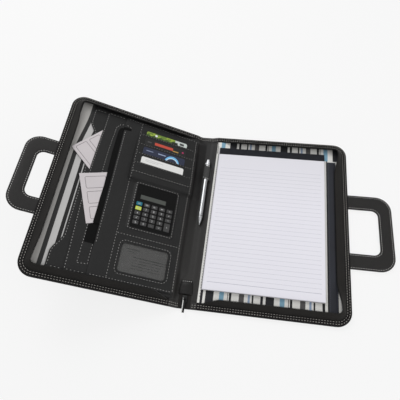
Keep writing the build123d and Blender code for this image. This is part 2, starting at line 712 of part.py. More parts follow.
save(case.part, "calculator_case")

for name, (u_local, v_local, height) in keys.items():
    flange_top = CALC_TOP - CALC_WALL - KEY_FLANGE_GAP
    with BuildPart() as key:
        with BuildSketch(left_at(flange_top - KEY_FLANGE_T)):
            with Locations((u_local, v_local)):
                Rectangle(KEY_W + 2 * KEY_FLANGE, height + 2 * KEY_FLANGE)
        extrude(amount=KEY_FLANGE_T)
        with BuildSketch(left_at(flange_top)):
            with Locations((u_local, v_local)):
                RectangleRounded(KEY_W, height, KEY_R)
        extrude(amount=CALC_TOP + KEY_RISE - flange_top)
    save(key.part, f"key_{name}")

# Circuit board on the panel, with the display standing up into the case's window and a cell
with BuildPart() as circuit:
    inside_w = CALC_W - 2 * CALC_WALL - 2 * CIRCUIT_GAP
    inside_h = CALC_H - 2 * CALC_WALL - 2 * CIRCUIT_GAP
    with BuildSketch(left_at(CALC_Z)):
        with Locations((-CALC_U, CALC_V)):
            Rectangle(inside_w, inside_h)
    extrude(amount=CIRCUIT_T)
with BuildPart() as screen:
    with BuildSketch(left_at(CALC_Z + CIRCUIT_T)):
        with Locations((screen_u, screen_v)):
            Rectangle(SCREEN_W, SCREEN_H)
    extrude(amount=CALC_T - CIRCUIT_T - SCREEN_SINK)
with BuildPart() as cell:
    with BuildSketch(left_at(CALC_Z + CIRCUIT_T)):
        with Locations((-CALC_U, CALC_V + CALC_H / 2 - SCREEN_TOP / 2)):
            Circle(CELL_R)
    extrude(amount=CELL_T)
save(Compound(children=[circuit.part, screen.part, cell.part]), "calculator_display_board")

print(f"cover {COVER_W:.1f} x {COVER_H:.1f}, body {BODY_T:.2f}, border top {BORDER_TOP:.2f}")
print(f"rim height {RIM_H:.2f}, pad middle v {PAD_V:.2f}, mouth u {MOUTH_U:.2f}, pen z {PEN_Z:.2f}")
print(f"slider middle y {slider_middle:.2f}, pull pivot z {PIVOT_Z:.2f}, stop u {STOP_U:.2f}")
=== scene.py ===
# %% [markdown]
# This lesson dresses a zippered padfolio that lies open on a table. The packed solids are a fixed frame:
# each says where a piece is and which body carries it. They could be shown as they are, but sewn leather,
# paper and zip tape need softer shapes, so most pieces below are new meshes that stand for a solid.

# %% Load the packed frame
import math
import random

import bmesh
import bpy
import numpy as np
from mathutils import Matrix, Vector, geometry


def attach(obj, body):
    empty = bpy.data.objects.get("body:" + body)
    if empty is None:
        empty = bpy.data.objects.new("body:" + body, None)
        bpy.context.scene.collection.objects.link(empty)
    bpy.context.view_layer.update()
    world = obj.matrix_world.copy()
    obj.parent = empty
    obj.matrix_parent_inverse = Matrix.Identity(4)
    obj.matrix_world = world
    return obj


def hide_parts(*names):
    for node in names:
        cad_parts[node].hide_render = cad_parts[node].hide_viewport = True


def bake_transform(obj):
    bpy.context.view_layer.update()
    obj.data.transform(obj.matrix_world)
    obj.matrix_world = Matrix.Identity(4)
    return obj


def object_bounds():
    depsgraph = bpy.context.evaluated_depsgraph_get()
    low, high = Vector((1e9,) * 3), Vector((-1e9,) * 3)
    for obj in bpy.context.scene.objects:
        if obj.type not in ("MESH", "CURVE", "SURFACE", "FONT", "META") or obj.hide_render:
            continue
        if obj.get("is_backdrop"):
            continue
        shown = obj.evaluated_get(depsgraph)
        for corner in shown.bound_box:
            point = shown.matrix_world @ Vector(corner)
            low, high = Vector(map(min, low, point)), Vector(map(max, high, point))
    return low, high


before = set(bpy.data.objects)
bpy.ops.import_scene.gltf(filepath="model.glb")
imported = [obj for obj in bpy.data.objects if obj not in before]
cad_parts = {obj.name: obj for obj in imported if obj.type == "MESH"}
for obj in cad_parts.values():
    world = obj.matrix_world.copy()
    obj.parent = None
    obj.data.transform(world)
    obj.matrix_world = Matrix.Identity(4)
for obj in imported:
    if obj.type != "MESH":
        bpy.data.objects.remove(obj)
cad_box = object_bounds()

# %% [markdown]
# Every piece is drawn on one of three flat sheets: the back cover, the raised front cover or the spine.
# A point there has u, the way out from the fold line, v, the way along the spine, and h, the height above
# the underside, all in millimetres. Three small functions turn such points into places in the room, so a
# pocket is drawn flat and ends up on the tilted cover.

# %% The sheets that pieces are drawn on
MM, PER_METRE = 0.001, 1000.0
COVER_W, COVER_H, COVER_T, CORNER_R = 267.0, 363.0, 8.0, 26.0
FOLD_X, FOLD_Z = 16.0, 4.5
TILT = math.radians(25.5)
COS, SIN = math.cos(TILT), math.sin(TILT)


def on_right(u, v, h):
    """Back cover, flat on the table."""
    u, v, h = np.broadcast_arrays(u, v, h)
    return np.stack([FOLD_X + u, v, h], -1)


def on_left(u, v, h):
    """Front cover, raised at its fold line."""
    u, v, h = np.broadcast_arrays(u, v, h)
    rise = h - FOLD_Z
    return np.stack([-FOLD_X - u * COS + rise * SIN, v, FOLD_Z + u * SIN + rise * COS], -1)


def on_spine(u, v, h):
    """Spine, where u is simply X."""
    u, v, h = np.broadcast_arrays(u, v, h)
    return np.stack([u, v, h], -1)


print("outer edge of the front cover at", on_left(COVER_W, 0, 0).round(1))

# %% [markdown]
# A piece is a list of points and faces, a finish and the body that carries it. One helper makes the mesh,
# welds doubled points, turns all faces outwards, shades it smooth up to a sharp angle and registers it
# with the frame. Doing this by hand for a hundred pieces would only hide the shapes.

# %% One helper for every piece


def add_piece(name, points, faces, finish, body=None, slot=None, stands_for=(), sharp=40):
    """Mesh object from points in millimetres, riding on a body and standing for solids."""
    mesh = bpy.data.meshes.new(name)
    mesh.from_pydata((np.asarray(points, float) * MM).tolist(), [], faces)
    shape = bmesh.new()
    shape.from_mesh(mesh)
    bmesh.ops.remove_doubles(shape, verts=shape.verts, dist=2e-6)
    bmesh.ops.recalc_face_normals(shape, faces=shape.faces)
    shape.to_mesh(mesh)
    shape.free()
    mesh.shade_smooth()
    mesh.set_sharp_from_angle(angle=math.radians(sharp))
    mesh.materials.append(finish)
    piece = bpy.data.objects.new(name, mesh)
    bpy.context.scene.collection.objects.link(piece)
    if body:
        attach(piece, body)
    if stands_for:
        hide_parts(*stands_for)
    return piece


def together(*groups):
    """Several lots of points and faces as one."""
    points, faces = [], []
    for more_points, more_faces in groups:
        start = len(points)
        points.extend(more_points)
        faces.extend([[start + i for i in face] for face in more_faces])
    return points, faces


TRIANGLE = ([(0, 0, 0), (1, 0, 0), (0, 1, 0)], [[0, 1, 2]])
print("two triangles as one have the faces", together(TRIANGLE, TRIANGLE)[1])

# %% [markdown]
# Finishes are node trees. Wired by hand they are hard to read, so a small class wraps a socket and lets
# shader maths be written as arithmetic: 1 - mask adds the Math node.

# %% Shader maths as arithmetic


class Wire:
    """An output socket of a finish. Arithmetic on it adds Math nodes."""

    def __init__(self, finish, socket):
        self.finish = finish
        self.socket = socket

    def math(self, operation, first, second=0.0):
        return self.finish.node("ShaderNodeMath", {"operation": operation}, {0: first, 1: second})

    def __add__(self, other):
        return self.math("ADD", self, other)

    def __radd__(self, other):
        return self.math("ADD", other, self)

    def __sub__(self, other):
        return self.math("SUBTRACT", self, other)

    def __rsub__(self, other):
        return self.math("SUBTRACT", other, self)

    def __mul__(self, other):
        return self.math("MULTIPLY", self, other)

    def __rmul__(self, other):
        return self.math("MULTIPLY", other, self)

    def __mod__(self, other):
        return self.math("FLOORED_MODULO", self, other)

    def __gt__(self, other):
        return self.math("GREATER_THAN", self, other)

    def __lt__(self, other):
        return self.math("LESS_THAN", self, other)

    def __abs__(self):
        return self.math("ABSOLUTE", self)

    def sine(self):
        return self.math("SINE", self)


print("also with a number first:", [name for name in vars(Wire) if name.startswith("__r")])

# %% [markdown]
# A finish is a material with one main shader. What is the same all over is set on the shader's own
# sockets. Any other node comes from one method that takes the node's type, its settings and its sockets,
# and short methods name the nodes that most finishes share.

# %% Finishes


class Finish:
    """A material whose nodes are added by expressions."""

    def __init__(self, name, **fixed):
        self.material = bpy.data.materials.new(name)
        self.material.use_nodes = True
        self.tree = self.material.node_tree
        self.shader = self.tree.nodes["Principled BSDF"]
        for label, value in fixed.items():
            title = label.replace("_", " ").title().replace("Ior", "IOR")
            self.shader.inputs[title].default_value = value

    def plug(self, socket, value):
        if isinstance(value, Wire):
            self.tree.links.new(value.socket, socket)
        else:
            socket.default_value = value

    def node(self, kind, settings=None, sockets=None, out=0):
        made = self.tree.nodes.new(kind)
        for name, value in (settings or {}).items():
            if name == "stops":
                ramp = made.color_ramp
                while len(ramp.elements) < len(value):
                    ramp.elements.new(0.5)
                for element, (position, colour) in zip(ramp.elements, value):
                    element.position = position
                    element.color = colour
            elif name == "interpolation":
                made.color_ramp.interpolation = value
            else:
                setattr(made, name, value)
        for label, value in (sockets or {}).items():
            self.plug(made.inputs[label], value)
        return Wire(self, made.outputs[out])

    def mix(self, share, first, second):
        """Colour between two colours."""
        return self.node("ShaderNodeMix", {"data_type": "RGBA"}, {0: share, 6: first, 7: second}, out=2)

    def place(self):
        return self.node("ShaderNodeTexCoord", out="Object")

    def noise(self, scale, detail=4.0, where=None):
        sockets = {"Vector": where or self.place(), "Scale": scale, "Detail": detail}
        return self.node("ShaderNodeTexNoise", {}, sockets)

    def axes(self, side):
        """u, v and h of the surface point in millimetres, on the back cover, front cover or spine."""
        place = self.place()
        metres = [self.node("ShaderNodeSeparateXYZ", {}, {0: place}, out=k) for k in range(3)]
        x, y, z = (length * PER_METRE for length in metres)
        if side == "right":
            return x - FOLD_X, y, z
        if side == "spine":
            return x, y, z
        along, up = x + FOLD_X, z - FOLD_Z
        return up * SIN - along * COS, y, along * SIN + up * COS + FOLD_Z

    def feed(self, **inputs):
        for label, value in inputs.items():
            self.plug(self.shader.inputs[label.replace("_", " ").title()], value)

    def bump(self, height, strength, depth):
        sockets = {"Strength": strength, "Distance": depth, "Height": height}
        self.feed(normal=self.node("ShaderNodeBump", {}, sockets, out="Normal"))


print("a finish can", [name for name in vars(Finish) if not name.startswith("_")])

# %% [markdown]
# Blender reckons in linear light, but a colour is easier to judge as it looks on screen. One function
# turns such a colour into linear values, so the colours below can be read like paint chips.

# %% Colours


def shade(red, green, blue):
    """A colour given as it looks on screen, 0 to 255, turned into the linear values Blender uses."""
    parts = [c / 255 for c in (red, green, blue)]
    parts = [c / 12.92 if c <= 0.04045 else ((c + 0.055) / 1.055) ** 2.4 for c in parts]
    return (*parts, 1.0)


def grey(level):
    return shade(level, level, level)


print("a middle grey on screen is", round(grey(128)[0], 3), "in linear light")

# %% [markdown]
# The covers, pockets and handles are black coated leather: a fine pebble grain about a millimetre
# across, a soft sheen, and slightly paler, drier tops on the pebbles. Cells of a Voronoi texture give
# the pebbles, and noise breaks up their sheen, so no stretch of leather is one flat black. The spine's
# leather has a painted sheen that makes it paler towards its foot, and the covers and the zip's tab get
# darker copies of the leather as painted shade.

# %% Black grained leather


def make_leather(name, dark, light, rough, grain=1.0, painted_sheen=0.0, shine=0.22):
    """Leather between two shades, optionally with a painted sheen that makes it paler from the head of the
    object to its foot.
    """
    finish = Finish(name, specular_ior_level=shine)
    cells = finish.node(
        "ShaderNodeTexVoronoi",
        {"feature": "DISTANCE_TO_EDGE"},
        {"Vector": finish.place(), "Scale": 1000.0, "Randomness": 0.95},
        out="Distance",
    )
    pebble = cells.math("MINIMUM", cells * 3.2, 1.0)
    creases = finish.noise(160.0, detail=6.0)
    handling = finish.noise(14.0, detail=3.0)
    tone = pebble * 0.35 + creases * 0.35 + handling * 0.45 - 0.1
    # painted sheen: the leather grows paler towards the foot of the spine, standing in for the light's
    # sheen there
    if painted_sheen:
        _, v, _ = finish.axes("spine")
        tone = tone - painted_sheen * (v + 10.0)
    finish.feed(
        base_color=finish.mix(tone, dark, light),
        roughness=rough + 0.16 * handling - 0.07 * pebble,
    )
    finish.bump(pebble * 0.75 + creases * 0.5, strength=0.34 * grain, depth=0.00022)
    return finish.material


handle_leather = make_leather("handle_leather", shade(26, 25, 25), shade(46, 45, 44), rough=0.45)
# the covers' leather is a darker copy of the same leather, as painted shade
shaded_cover_leather = make_leather("shaded_cover_leather", shade(18, 17, 17), shade(32, 31, 31), rough=0.54, shine=0.1)
pocket_leather = make_leather("pocket_leather", grey(24), grey(40), rough=0.5, grain=0.8)
spine_leather = make_leather(
    "spine_leather", shade(26, 25, 25), shade(45, 44, 43), rough=0.42, grain=0.7, painted_sheen=0.0042
)
# the tab's leather is a darker copy as well, painted shade
shaded_tab_leather = make_leather("shaded_tab_leather", shade(15, 14, 14), shade(30, 29, 28), rough=0.38)
print("leathers", shaded_cover_leather.name, pocket_leather.name, spine_leather.name)

# %% [markdown]
# The seams are sewn with a pale grey thread. Each stitch will be its own small mesh, so the finish only
# adds the slanting twist of the thread and a little dirt from use.

# %% Sewing thread


def make_thread(name, pale, dull):
    finish = Finish(name, specular_ior_level=0.3)
    twist = finish.node(
        "ShaderNodeTexWave",
        {"wave_type": "BANDS", "bands_direction": "DIAGONAL"},
        {"Vector": finish.place(), "Scale": 700.0, "Distortion": 0.4},
    )
    dirt = finish.noise(60.0, detail=2.0)
    finish.feed(base_color=finish.mix(dirt, dull, pale), roughness=0.62 + 0.2 * dirt)
    finish.bump(twist, strength=0.4, depth=0.00012)
    return finish.material


thread = make_thread("pale_thread", grey(204), shade(166, 163, 158))
pocket_thread = make_thread("pocket_thread", grey(182), shade(148, 145, 140))
border_thread = make_thread("border_thread", shade(192, 189, 184), shade(150, 146, 140))
print("threads", thread.name, pocket_thread.name, border_thread.name)

# %% [markdown]
# The lining is a printed woven cloth with stripes that run along the spine. A ramp with hard stops holds
# one repeat of the stripes, and the distance u decides where in the repeat a point lies. The weave is two
# crossed waves in the bump, which also dulls the colours a little between threads.

# %% Striped lining cloth
LINING_WEAVE, PLAIN = 9.0, grey(27)


def make_striped(name, side, stripes, offset, mirror=None, hidden=0.0, bend=0.0):
    """Cloth with stripes of (width in mm, colour).

    Above v = mirror[0] it is a piece turned about u = mirror[1] / 2, under u = hidden it is plain, and
    bend carries the stripes sideways towards the head.
    """
    finish = Finish(name, specular_ior_level=0.2, sheen_weight=0.04)
    u, v, _ = finish.axes(side)
    period = sum(width for width, _ in stripes)
    stops, edge = [], 0.0
    for width, colour in stripes:
        stops.append((edge / period, colour))
        edge += width
    wobble = finish.noise(300.0, detail=2.0)
    where = u + offset + 0.25 * wobble
    if bend:
        share = u.math("MINIMUM", u.math("MAXIMUM", (v - 50.0) * 0.01, 0.0), 1.0)
        where = where + bend * share * share * (3.0 - 2.0 * share)
    if mirror:
        turned_piece = v > mirror[0]
        where = where + turned_piece * (mirror[1] - offset - 2.0 * u)
    colour = finish.node(
        "ShaderNodeValToRGB",
        {"stops": stops, "interpolation": "CONSTANT"},
        {0: (where % period) * (1.0 / period)},
    )
    colour = finish.mix(u < hidden, colour, PLAIN) if hidden else colour
    weave = (u * LINING_WEAVE).sine() * (v * LINING_WEAVE).sine()
    wear = finish.noise(35.0, detail=4.0)
    finish.feed(
        base_color=finish.mix(0.03 + 0.03 * weave + 0.07 * wear, colour, grey(96)),
        roughness=0.68 + 0.18 * wear,
    )
    finish.bump(weave, strength=0.25, depth=0.00015)
    return finish.material


print("threads of the weave are", round(math.pi / LINING_WEAVE, 2), "mm apart")

# %% [markdown]
# The back cover's lining has white stripes with blue, grey and black between them, and a turned piece at
# its head. The front cover's lies in shade, so its stripes are painted as dim pale greys and blacks,
# painted shade; they bend a little towards the head. Widths are in millimetres, in the order in which
# the stripes lie.

# %% Stripes of the two linings
CHALK, SKY = shade(226, 225, 221), shade(124, 164, 186)
INK, ASH = shade(31, 32, 36), shade(84, 82, 82)
STEEL, SHADED_PALE = shade(142, 160, 186), shade(188, 187, 186)
DIM_START, DIM_REPEAT = 212.6, 50.4
bright_stripes = make_striped(
    "bright_stripes",
    "right",
    [
        (14.2, INK), (9.6, CHALK), (8.0, SKY), (6.0, CHALK), (1.4, ASH), (1.8, CHALK),
        (4.0, INK), (13.0, CHALK), (9.0, ASH), (6.2, CHALK), (3.8, STEEL), (3.4, CHALK),
        (2.8, INK), (11.6, CHALK), (4.6, INK), (4.6, CHALK),
    ],
    offset=-19.2,
    mirror=(140.5, 46.2),
)
# the front lining's stripe colours are dimmed greys: painted shade
shaded_stripes = make_striped(
    "shaded_stripes",
    "left",
    [
        (1.6, SHADED_PALE), (6.4, PLAIN), (10.6, SHADED_PALE), (7.4, grey(42)),
        (17.2, shade(172, 170, 167)), (7.2, grey(52)),
    ],
    offset=4 * DIM_REPEAT - DIM_START,
    hidden=206.0,
    bend=9.0,
)
print("lining repeats", bright_stripes.name, shaded_stripes.name)

# %% [markdown]
# The camera comes before the pieces, so that every later step can be looked at. It has the viewing angle
# that the edges of the pad and covers give: about 62 degrees down, from a little to the right, with a
# slight roll. The lens follows from a picture 400 pixels wide and a focal length of 397 pixels.

# %% Camera
AZIMUTH, ELEVATION, ROLL = 0.263168, 1.090015, -0.148515
TARGET = Vector((0.000443, 0.033305, 0.0))
DISTANCE = 0.787595
FOCAL, PICTURE_W, SENSOR = 397.385677, 400.0, 36.0
back = Vector(
    (
        math.sin(AZIMUTH) * math.cos(ELEVATION),
        -math.cos(AZIMUTH) * math.cos(ELEVATION),
        math.sin(ELEVATION),
    )
)
level = (-back).cross(Vector((0, 0, 1))).normalized()
upright = level.cross(-back)
across = level * math.cos(ROLL) + upright * math.sin(ROLL)
upwards = upright * math.cos(ROLL) - level * math.sin(ROLL)
camera = bpy.data.objects.new("camera", bpy.data.cameras.new("camera"))
camera.data.sensor_width = SENSOR
camera.data.lens = FOCAL * SENSOR / PICTURE_W
facing = Matrix((across, upwards, back)).transposed().to_4x4()
camera.matrix_world = Matrix.Translation(TARGET + back * DISTANCE) @ facing
bpy.context.scene.collection.objects.link(camera)
bpy.context.scene.camera = camera
print("lens", round(camera.data.lens, 2), "mm")

# %% [markdown]
# The studio is a pale table. Seen by the camera, it is mostly its own pale colour with only a faint
# shadow, as in a catalogue picture, and shiny pieces see the same pale ground.

# %% Table
PALE = (0.935, 0.935, 0.935, 1.0)
TABLE_HALF, TABLE_Z = 8, -2e-4


def make_table_finish():
    finish = Finish("pale_table", roughness=0.9, specular_ior_level=0.0)
    speckle = finish.noise(400.0, detail=2.0)
    finish.feed(base_color=finish.mix(speckle * 0.2, (0.9, 0.9, 0.9, 1.0), (0.93, 0.93, 0.93, 1.0)))
    glow = finish.node("ShaderNodeEmission", {}, {"Color": PALE, "Strength": 1.0})
    camera_ray = finish.node("ShaderNodeLightPath", out="Is Camera Ray")
    glossy_ray = finish.node("ShaderNodeLightPath", out="Is Glossy Ray")
    through_ray = finish.node("ShaderNodeLightPath", out="Is Transmission Ray")
    seen = camera_ray.math("MINIMUM", camera_ray + glossy_ray + through_ray, 1.0)
    lit = Wire(finish, finish.shader.outputs[0])
    surface = finish.node("ShaderNodeMixShader", {}, {0: seen * 0.86, 1: lit, 2: glow})
    finish.plug(finish.tree.nodes["Material Output"].inputs["Surface"], surface)
    return finish.material


table = bpy.data.objects.new("table", bpy.data.meshes.new("table"))
corners = [(a * TABLE_HALF, b * TABLE_HALF, TABLE_Z) for a, b in ((-1, -1), (1, -1), (1, 1), (-1, 1))]
table.data.from_pydata(corners, [], [(0, 1, 2, 3)])
table.data.materials.append(make_table_finish())
bpy.context.scene.collection.objects.link(table)
table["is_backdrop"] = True
print("table of", 2 * TABLE_HALF, "metres")

# %% [markdown]
# The light is an even sky and two large lamps, a stronger one behind at the left and a weaker one in
# front at the right. Large lamps give soft shadows, and at this level a colour renders about as it is
# written.

# %% Sky and lamps
LAMPS_AIM = Vector((0, 0, 0.03))
sky = bpy.data.worlds.new("studio")
bpy.context.scene.world = sky
sky.use_nodes = True
backdrop = sky.node_tree.nodes["Background"]
backdrop.inputs["Color"].default_value = PALE
backdrop.inputs["Strength"].default_value = 0.62
bpy.context.scene.view_settings.view_transform = "Standard"


def soft_lamp(name, place, size, watts):
    lamp = bpy.data.objects.new(name, bpy.data.lights.new(name, "AREA"))
    lamp.data.shape = "DISK"
    lamp.data.size = size
    lamp.data.energy = watts
    lamp.location = place
    lamp.rotation_euler = (LAMPS_AIM - Vector(place)).to_track_quat("-Z", "Y").to_euler()
    bpy.context.scene.collection.objects.link(lamp)
    print(name, "of", watts, "W")


soft_lamp("key_lamp", (-0.7, 1.1, 1.5), size=1.2, watts=17.0)
soft_lamp("fill_lamp", (1.2, -0.7, 1.4), size=1.6, watts=9.0)

# %% [markdown]
# Leather and paper pieces are cut from flat stock, often with a hole. An outline is a closed list of
# points on a sheet. Blender's curves could hold it, but a plain list is easy to shrink, to measure and to
# sew along.

# %% Outlines
WHOLE = 100.0  # a step so long that straight runs stay whole


def rounded_box(u0, u1, v0, v1, radius, step=5.0):
    """Closed outline with round corners, sampled closely."""
    corners = [((u1, v0), -90), ((u1, v1), 0), ((u0, v1), 90), ((u0, v0), 180)]
    radii = radius if hasattr(radius, "__len__") else [radius] * 4
    loop = []
    for ((u, v), begin), r in zip(corners, radii):
        mid_u = u - r if u == u1 else u + r
        mid_v = v - r if v == v1 else v + r
        for angle in np.radians(np.linspace(begin, begin + 90, 9 if r > 0.3 else 2)):
            loop.append((mid_u + r * math.cos(angle), mid_v + r * math.sin(angle)))
    return split_long(loop, step)


def box_about(middle, half, radius, step=5.0):
    """Rounded box given by its middle and half its size."""
    (u, v), (wide, tall) = middle, half
    return rounded_box(u - wide, u + wide, v - tall, v + tall, radius, step)


def split_long(loop, step):
    """The outline with points added on its long straight runs."""
    full = []
    for a, b in zip(loop, loop[1:] + loop[:1]):
        length = math.dist(a, b)
        if length < 1e-6:
            continue
        count = max(1, math.ceil(length / step))
        for k in range(count):
            full.append((a[0] + (b[0] - a[0]) * k / count, a[1] + (b[1] - a[1]) * k / count))
    return full


def circle(middle, radius, sides=20):
    turn = np.linspace(0, 2 * math.pi, sides, endpoint=False)
    return [(middle[0] + radius * math.cos(a), middle[1] + radius * math.sin(a)) for a in turn]


def side_area(loop):
    p = np.asarray(loop)
    q = np.roll(p, -1, 0)
    return 0.5 * np.sum(p[:, 0] * q[:, 1] - q[:, 0] * p[:, 1])


def offset_loop(loop, gap):
    """The outline moved by gap to the left of its direction."""
    p = np.asarray(loop, float)
    ahead = np.roll(p, -1, 0) - p
    ahead /= np.linalg.norm(ahead, axis=1)[:, None]
    left = np.stack([-ahead[:, 1], ahead[:, 0]], 1)
    before = np.roll(left, 1, 0)
    reach = 1 + np.sum(left * before, 1)
    return p + gap * (left + before) / np.maximum(reach, 0.5)[:, None]


PATCH = rounded_box(0, 60, 0, 40, 5.0)
print("the outline of a 60 by 40 mm patch has", len(PATCH), "points")

# %% [markdown]
# An outline is filled with small triangles: rings of points close to each edge, so that the edge can be
# rounded, and a grid in between, so that the piece can bulge. Blender's own Delaunay routine joins the
# points, and triangles that lie in a hole are dropped.

# %% Filling an outline


def facing_in(loops):
    """Outer outline anticlockwise and holes clockwise, so that left is always into the material."""
    ordered = []
    for k, loop in enumerate(loops):
        turn = side_area(loop) > 0
        ordered.append(np.asarray(loop if turn == (k == 0) else loop[::-1], float))
    return ordered


def edge_distance(points, loops):
    """Distance of each point from the nearest outline."""
    best = np.full(len(points), 1e9)
    for loop in loops:
        a = loop
        along = np.roll(loop, -1, 0) - a
        size = np.maximum(np.sum(along**2, 1), 1e-12)
        for start in range(0, len(points), 800):
            part = points[start:start + 800, None, :] - a[None]
            t = np.clip(np.sum(part * along[None], 2) / size[None], 0, 1)
            gap = np.linalg.norm(part - t[..., None] * along[None], axis=2).min(1)
            best[start:start + 800] = np.minimum(best[start:start + 800], gap)
    return best


def is_inside(points, loops):
    """True where a point lies in the outline and in none of its holes."""
    count = np.zeros(len(points), int)
    for loop in loops:
        after = np.roll(loop, -1, 0)
        for (au, av), (bu, bv) in zip(loop, after):
            if abs(bv - av) > 1e-12:
                crosses = (av > points[:, 1]) != (bv > points[:, 1])
                count += crosses & (points[:, 0] < (bu - au) * (points[:, 1] - av) / (bv - av) + au)
    return count % 2 == 1


def fill_outline(loops, gaps, spacing):
    """Points, triangles and edge distances of an outline with holes."""
    loops = facing_in(loops)
    points, edges = [], []
    for loop in loops:
        for gap in (0.0, *gaps):
            start, ring = len(points), offset_loop(loop, gap)
            points.extend(ring)
            edges += [(start + k, start + (k + 1) % len(ring)) for k in range(len(ring))]
    low, high = loops[0].min(0), loops[0].max(0)
    grid = np.stack(
        np.meshgrid(
            np.linspace(low[0], high[0], max(3, int((high[0] - low[0]) / spacing) + 1)),
            np.linspace(low[1], high[1], max(3, int((high[1] - low[1]) / spacing) + 1)),
        ),
        -1,
    ).reshape(-1, 2)
    grid = grid[is_inside(grid, loops)]
    grid = grid[edge_distance(grid, loops) > max(gaps) + 0.4 * spacing]
    points.extend(grid)
    made = geometry.delaunay_2d_cdt([Vector(p) for p in points], edges, [], 0, 1e-4)
    flat = np.array([(p.x, p.y) for p in made[0]])
    faces = np.array([f for f in made[2] if len(f) == 3])
    faces = faces[is_inside(flat[faces].mean(1), loops)]
    gap = edge_distance(flat, loops)
    gap[gap < 1e-3] = 0.0
    return flat, faces[gap[faces].max(1) > 0], gap


print("the patch is filled by", len(fill_outline([PATCH], (0.5, 1.0), 7.0)[1]), "triangles")

# %% [markdown]
# A sheet has a top and an underside over the same triangles. They meet at the edge, which makes a closed,
# slightly pillowed piece rather than a slab. Both heights may be functions, so a sheet can wave or climb.

# %% Sheets with rounded edges


def cut_sheet(loops, under, over, place, edge=0.5, spacing=7.0, gaps=None, crown=None):
    """Closed sheet between two height functions of u and v, rounded at its edges."""
    gaps = gaps or (0.12 * edge, 0.45 * edge, edge)
    flat, faces, gap = fill_outline(loops, gaps, spacing)
    u, v = flat[:, 0], flat[:, 1]
    low = under(u, v) if callable(under) else np.full(len(u), float(under))
    high = over(u, v) if callable(over) else np.full(len(u), float(over))
    if crown:
        share = crown(gap)
    else:
        share = np.sqrt(np.clip(1 - (1 - np.clip(gap / edge, 0, 1)) ** 2, 0, 1))
    middle, half = (low + high) / 2, (high - low) / 2 * share
    top = place(u, v, middle + half)
    bottom = place(u, v, middle - half)
    count = len(u)
    all_faces = faces.tolist() + [[count + i for i in face[::-1]] for face in faces.tolist()]
    return np.concatenate([top, bottom]).tolist(), all_faces


print("the patch as a closed sheet has", len(cut_sheet([PATCH], 0.0, 1.0, on_right)[1]), "faces")

# %% [markdown]
# Swept, turned and moulded pieces are stacks of rings with the same number of points each. One helper
# joins such a stack into a skin and closes its ends, so a new piece only has to say where its rings are.

# %% Skins over rings


def skin(rings, joined=False):
    """Closed skin over a stack of rings with equal numbers of points, capped or joined end to end."""
    count, stack = len(rings[0]), len(rings)
    points = np.concatenate(rings)
    faces = []
    for k in range(stack if joined else stack - 1):
        for i in range(count):
            a, b = k * count, (k + 1) % stack * count
            j = (i + 1) % count
            faces.append([a + i, a + j, b + j, b + i])
    if not joined:
        faces.append(list(range(count))[::-1])
        faces.append(list(range((stack - 1) * count, stack * count)))
    return points.tolist(), faces


def measured(path):
    """A path as an array, with the distance of each point from its start."""
    path = np.asarray(path, float)
    steps = np.linalg.norm(np.diff(path, axis=0), axis=1)
    return path, np.concatenate([[0], np.cumsum(steps)])


def spot_on(path, far, at):
    """The point of a measured path at a distance from its start."""
    return np.array([np.interp(at, far, path[:, i]) for i in range(3)])


def directions(ahead):
    """Unit vectors ahead, aside and up for a small piece that lies along a path."""
    ahead = ahead / max(np.linalg.norm(ahead), 1e-9)
    aside = np.cross((0, 0, 1.0), ahead)
    aside = aside / max(np.linalg.norm(aside), 1e-9)
    return ahead, aside, np.cross(ahead, aside)


def laid(place, pieces):
    """Many small pieces, drawn on a sheet as points and faces, put in place as one."""
    points, faces = together(*pieces)
    return place(*np.array(points).T).tolist(), faces


tube = skin([on_spine(*np.array(circle((0, 0), 5.0)).T, height) for height in (0.0, 10.0)])
print("a tube of two rings has", len(tube[1]), "faces")

# %% [markdown]
# Seams show as rows of short stitches that dive into the leather at both ends. A texture of dashes would
# lie flat, so each stitch is a small capsule of thread, placed along its seam line and turned with it.

# %% Stitches
STITCH_RINGS = ((-0.5, 0.4, -0.3), (-0.28, 1.0, 0.1), (0.28, 1.0, 0.1), (0.5, 0.4, -0.3))
STITCH_TURNS = [2 * math.pi * corner / 6 for corner in range(6)]


def sew(paths, place, pitch=5.2, length=2.6, width=0.4):
    """Stitches along paths of (u, v, h) points on a sheet."""
    stitches = []
    for path in paths:
        path, far = measured(path)
        count = max(1, int(far[-1] / pitch))
        for k in range(count):
            spot = (k + 0.5) * far[-1] / count
            middle = spot_on(path, far, spot)
            chord = spot_on(path, far, spot + 0.5) - spot_on(path, far, spot - 0.5)
            ahead, aside, up = directions(chord)
            rings = []
            for run, swell, lift in STITCH_RINGS:
                centre = middle + ahead * run * length + up * lift * width * 2
                rings.append([
                    centre + (aside * math.cos(turn) + up * math.sin(turn)) * swell * width
                    for turn in STITCH_TURNS
                ])
            stitches.append(skin(rings))
    return laid(place, stitches)


def line(*points, step=6.0):
    """Straight runs through points, with points in between."""
    full = []
    for a, b in zip(points, points[1:]):
        count = max(1, math.ceil(math.dist(a, b) / step))
        begin, way = np.asarray(a), np.asarray(b) - np.asarray(a)
        full += [tuple(begin + way * k / count) for k in range(count)]
    return [*full, points[-1]]


sample = sew([line((0, 0, 0), (100, 0, 0))], on_spine)
print("a seam of 100 mm takes", len(sample[0]) // (len(STITCH_RINGS) * len(STITCH_TURNS)), "stitches")

# %% [markdown]
# Each cover is board wrapped in leather: a plain outside, a rolled edge, and inside a border with two
# rows of sewing where the leather is turned in. It could be a bevelled box, but the border dips at its
# seams and the handle slides out of a slot in the edge. So one cross-section, a list of insets and
# heights, is carried round the three free sides.

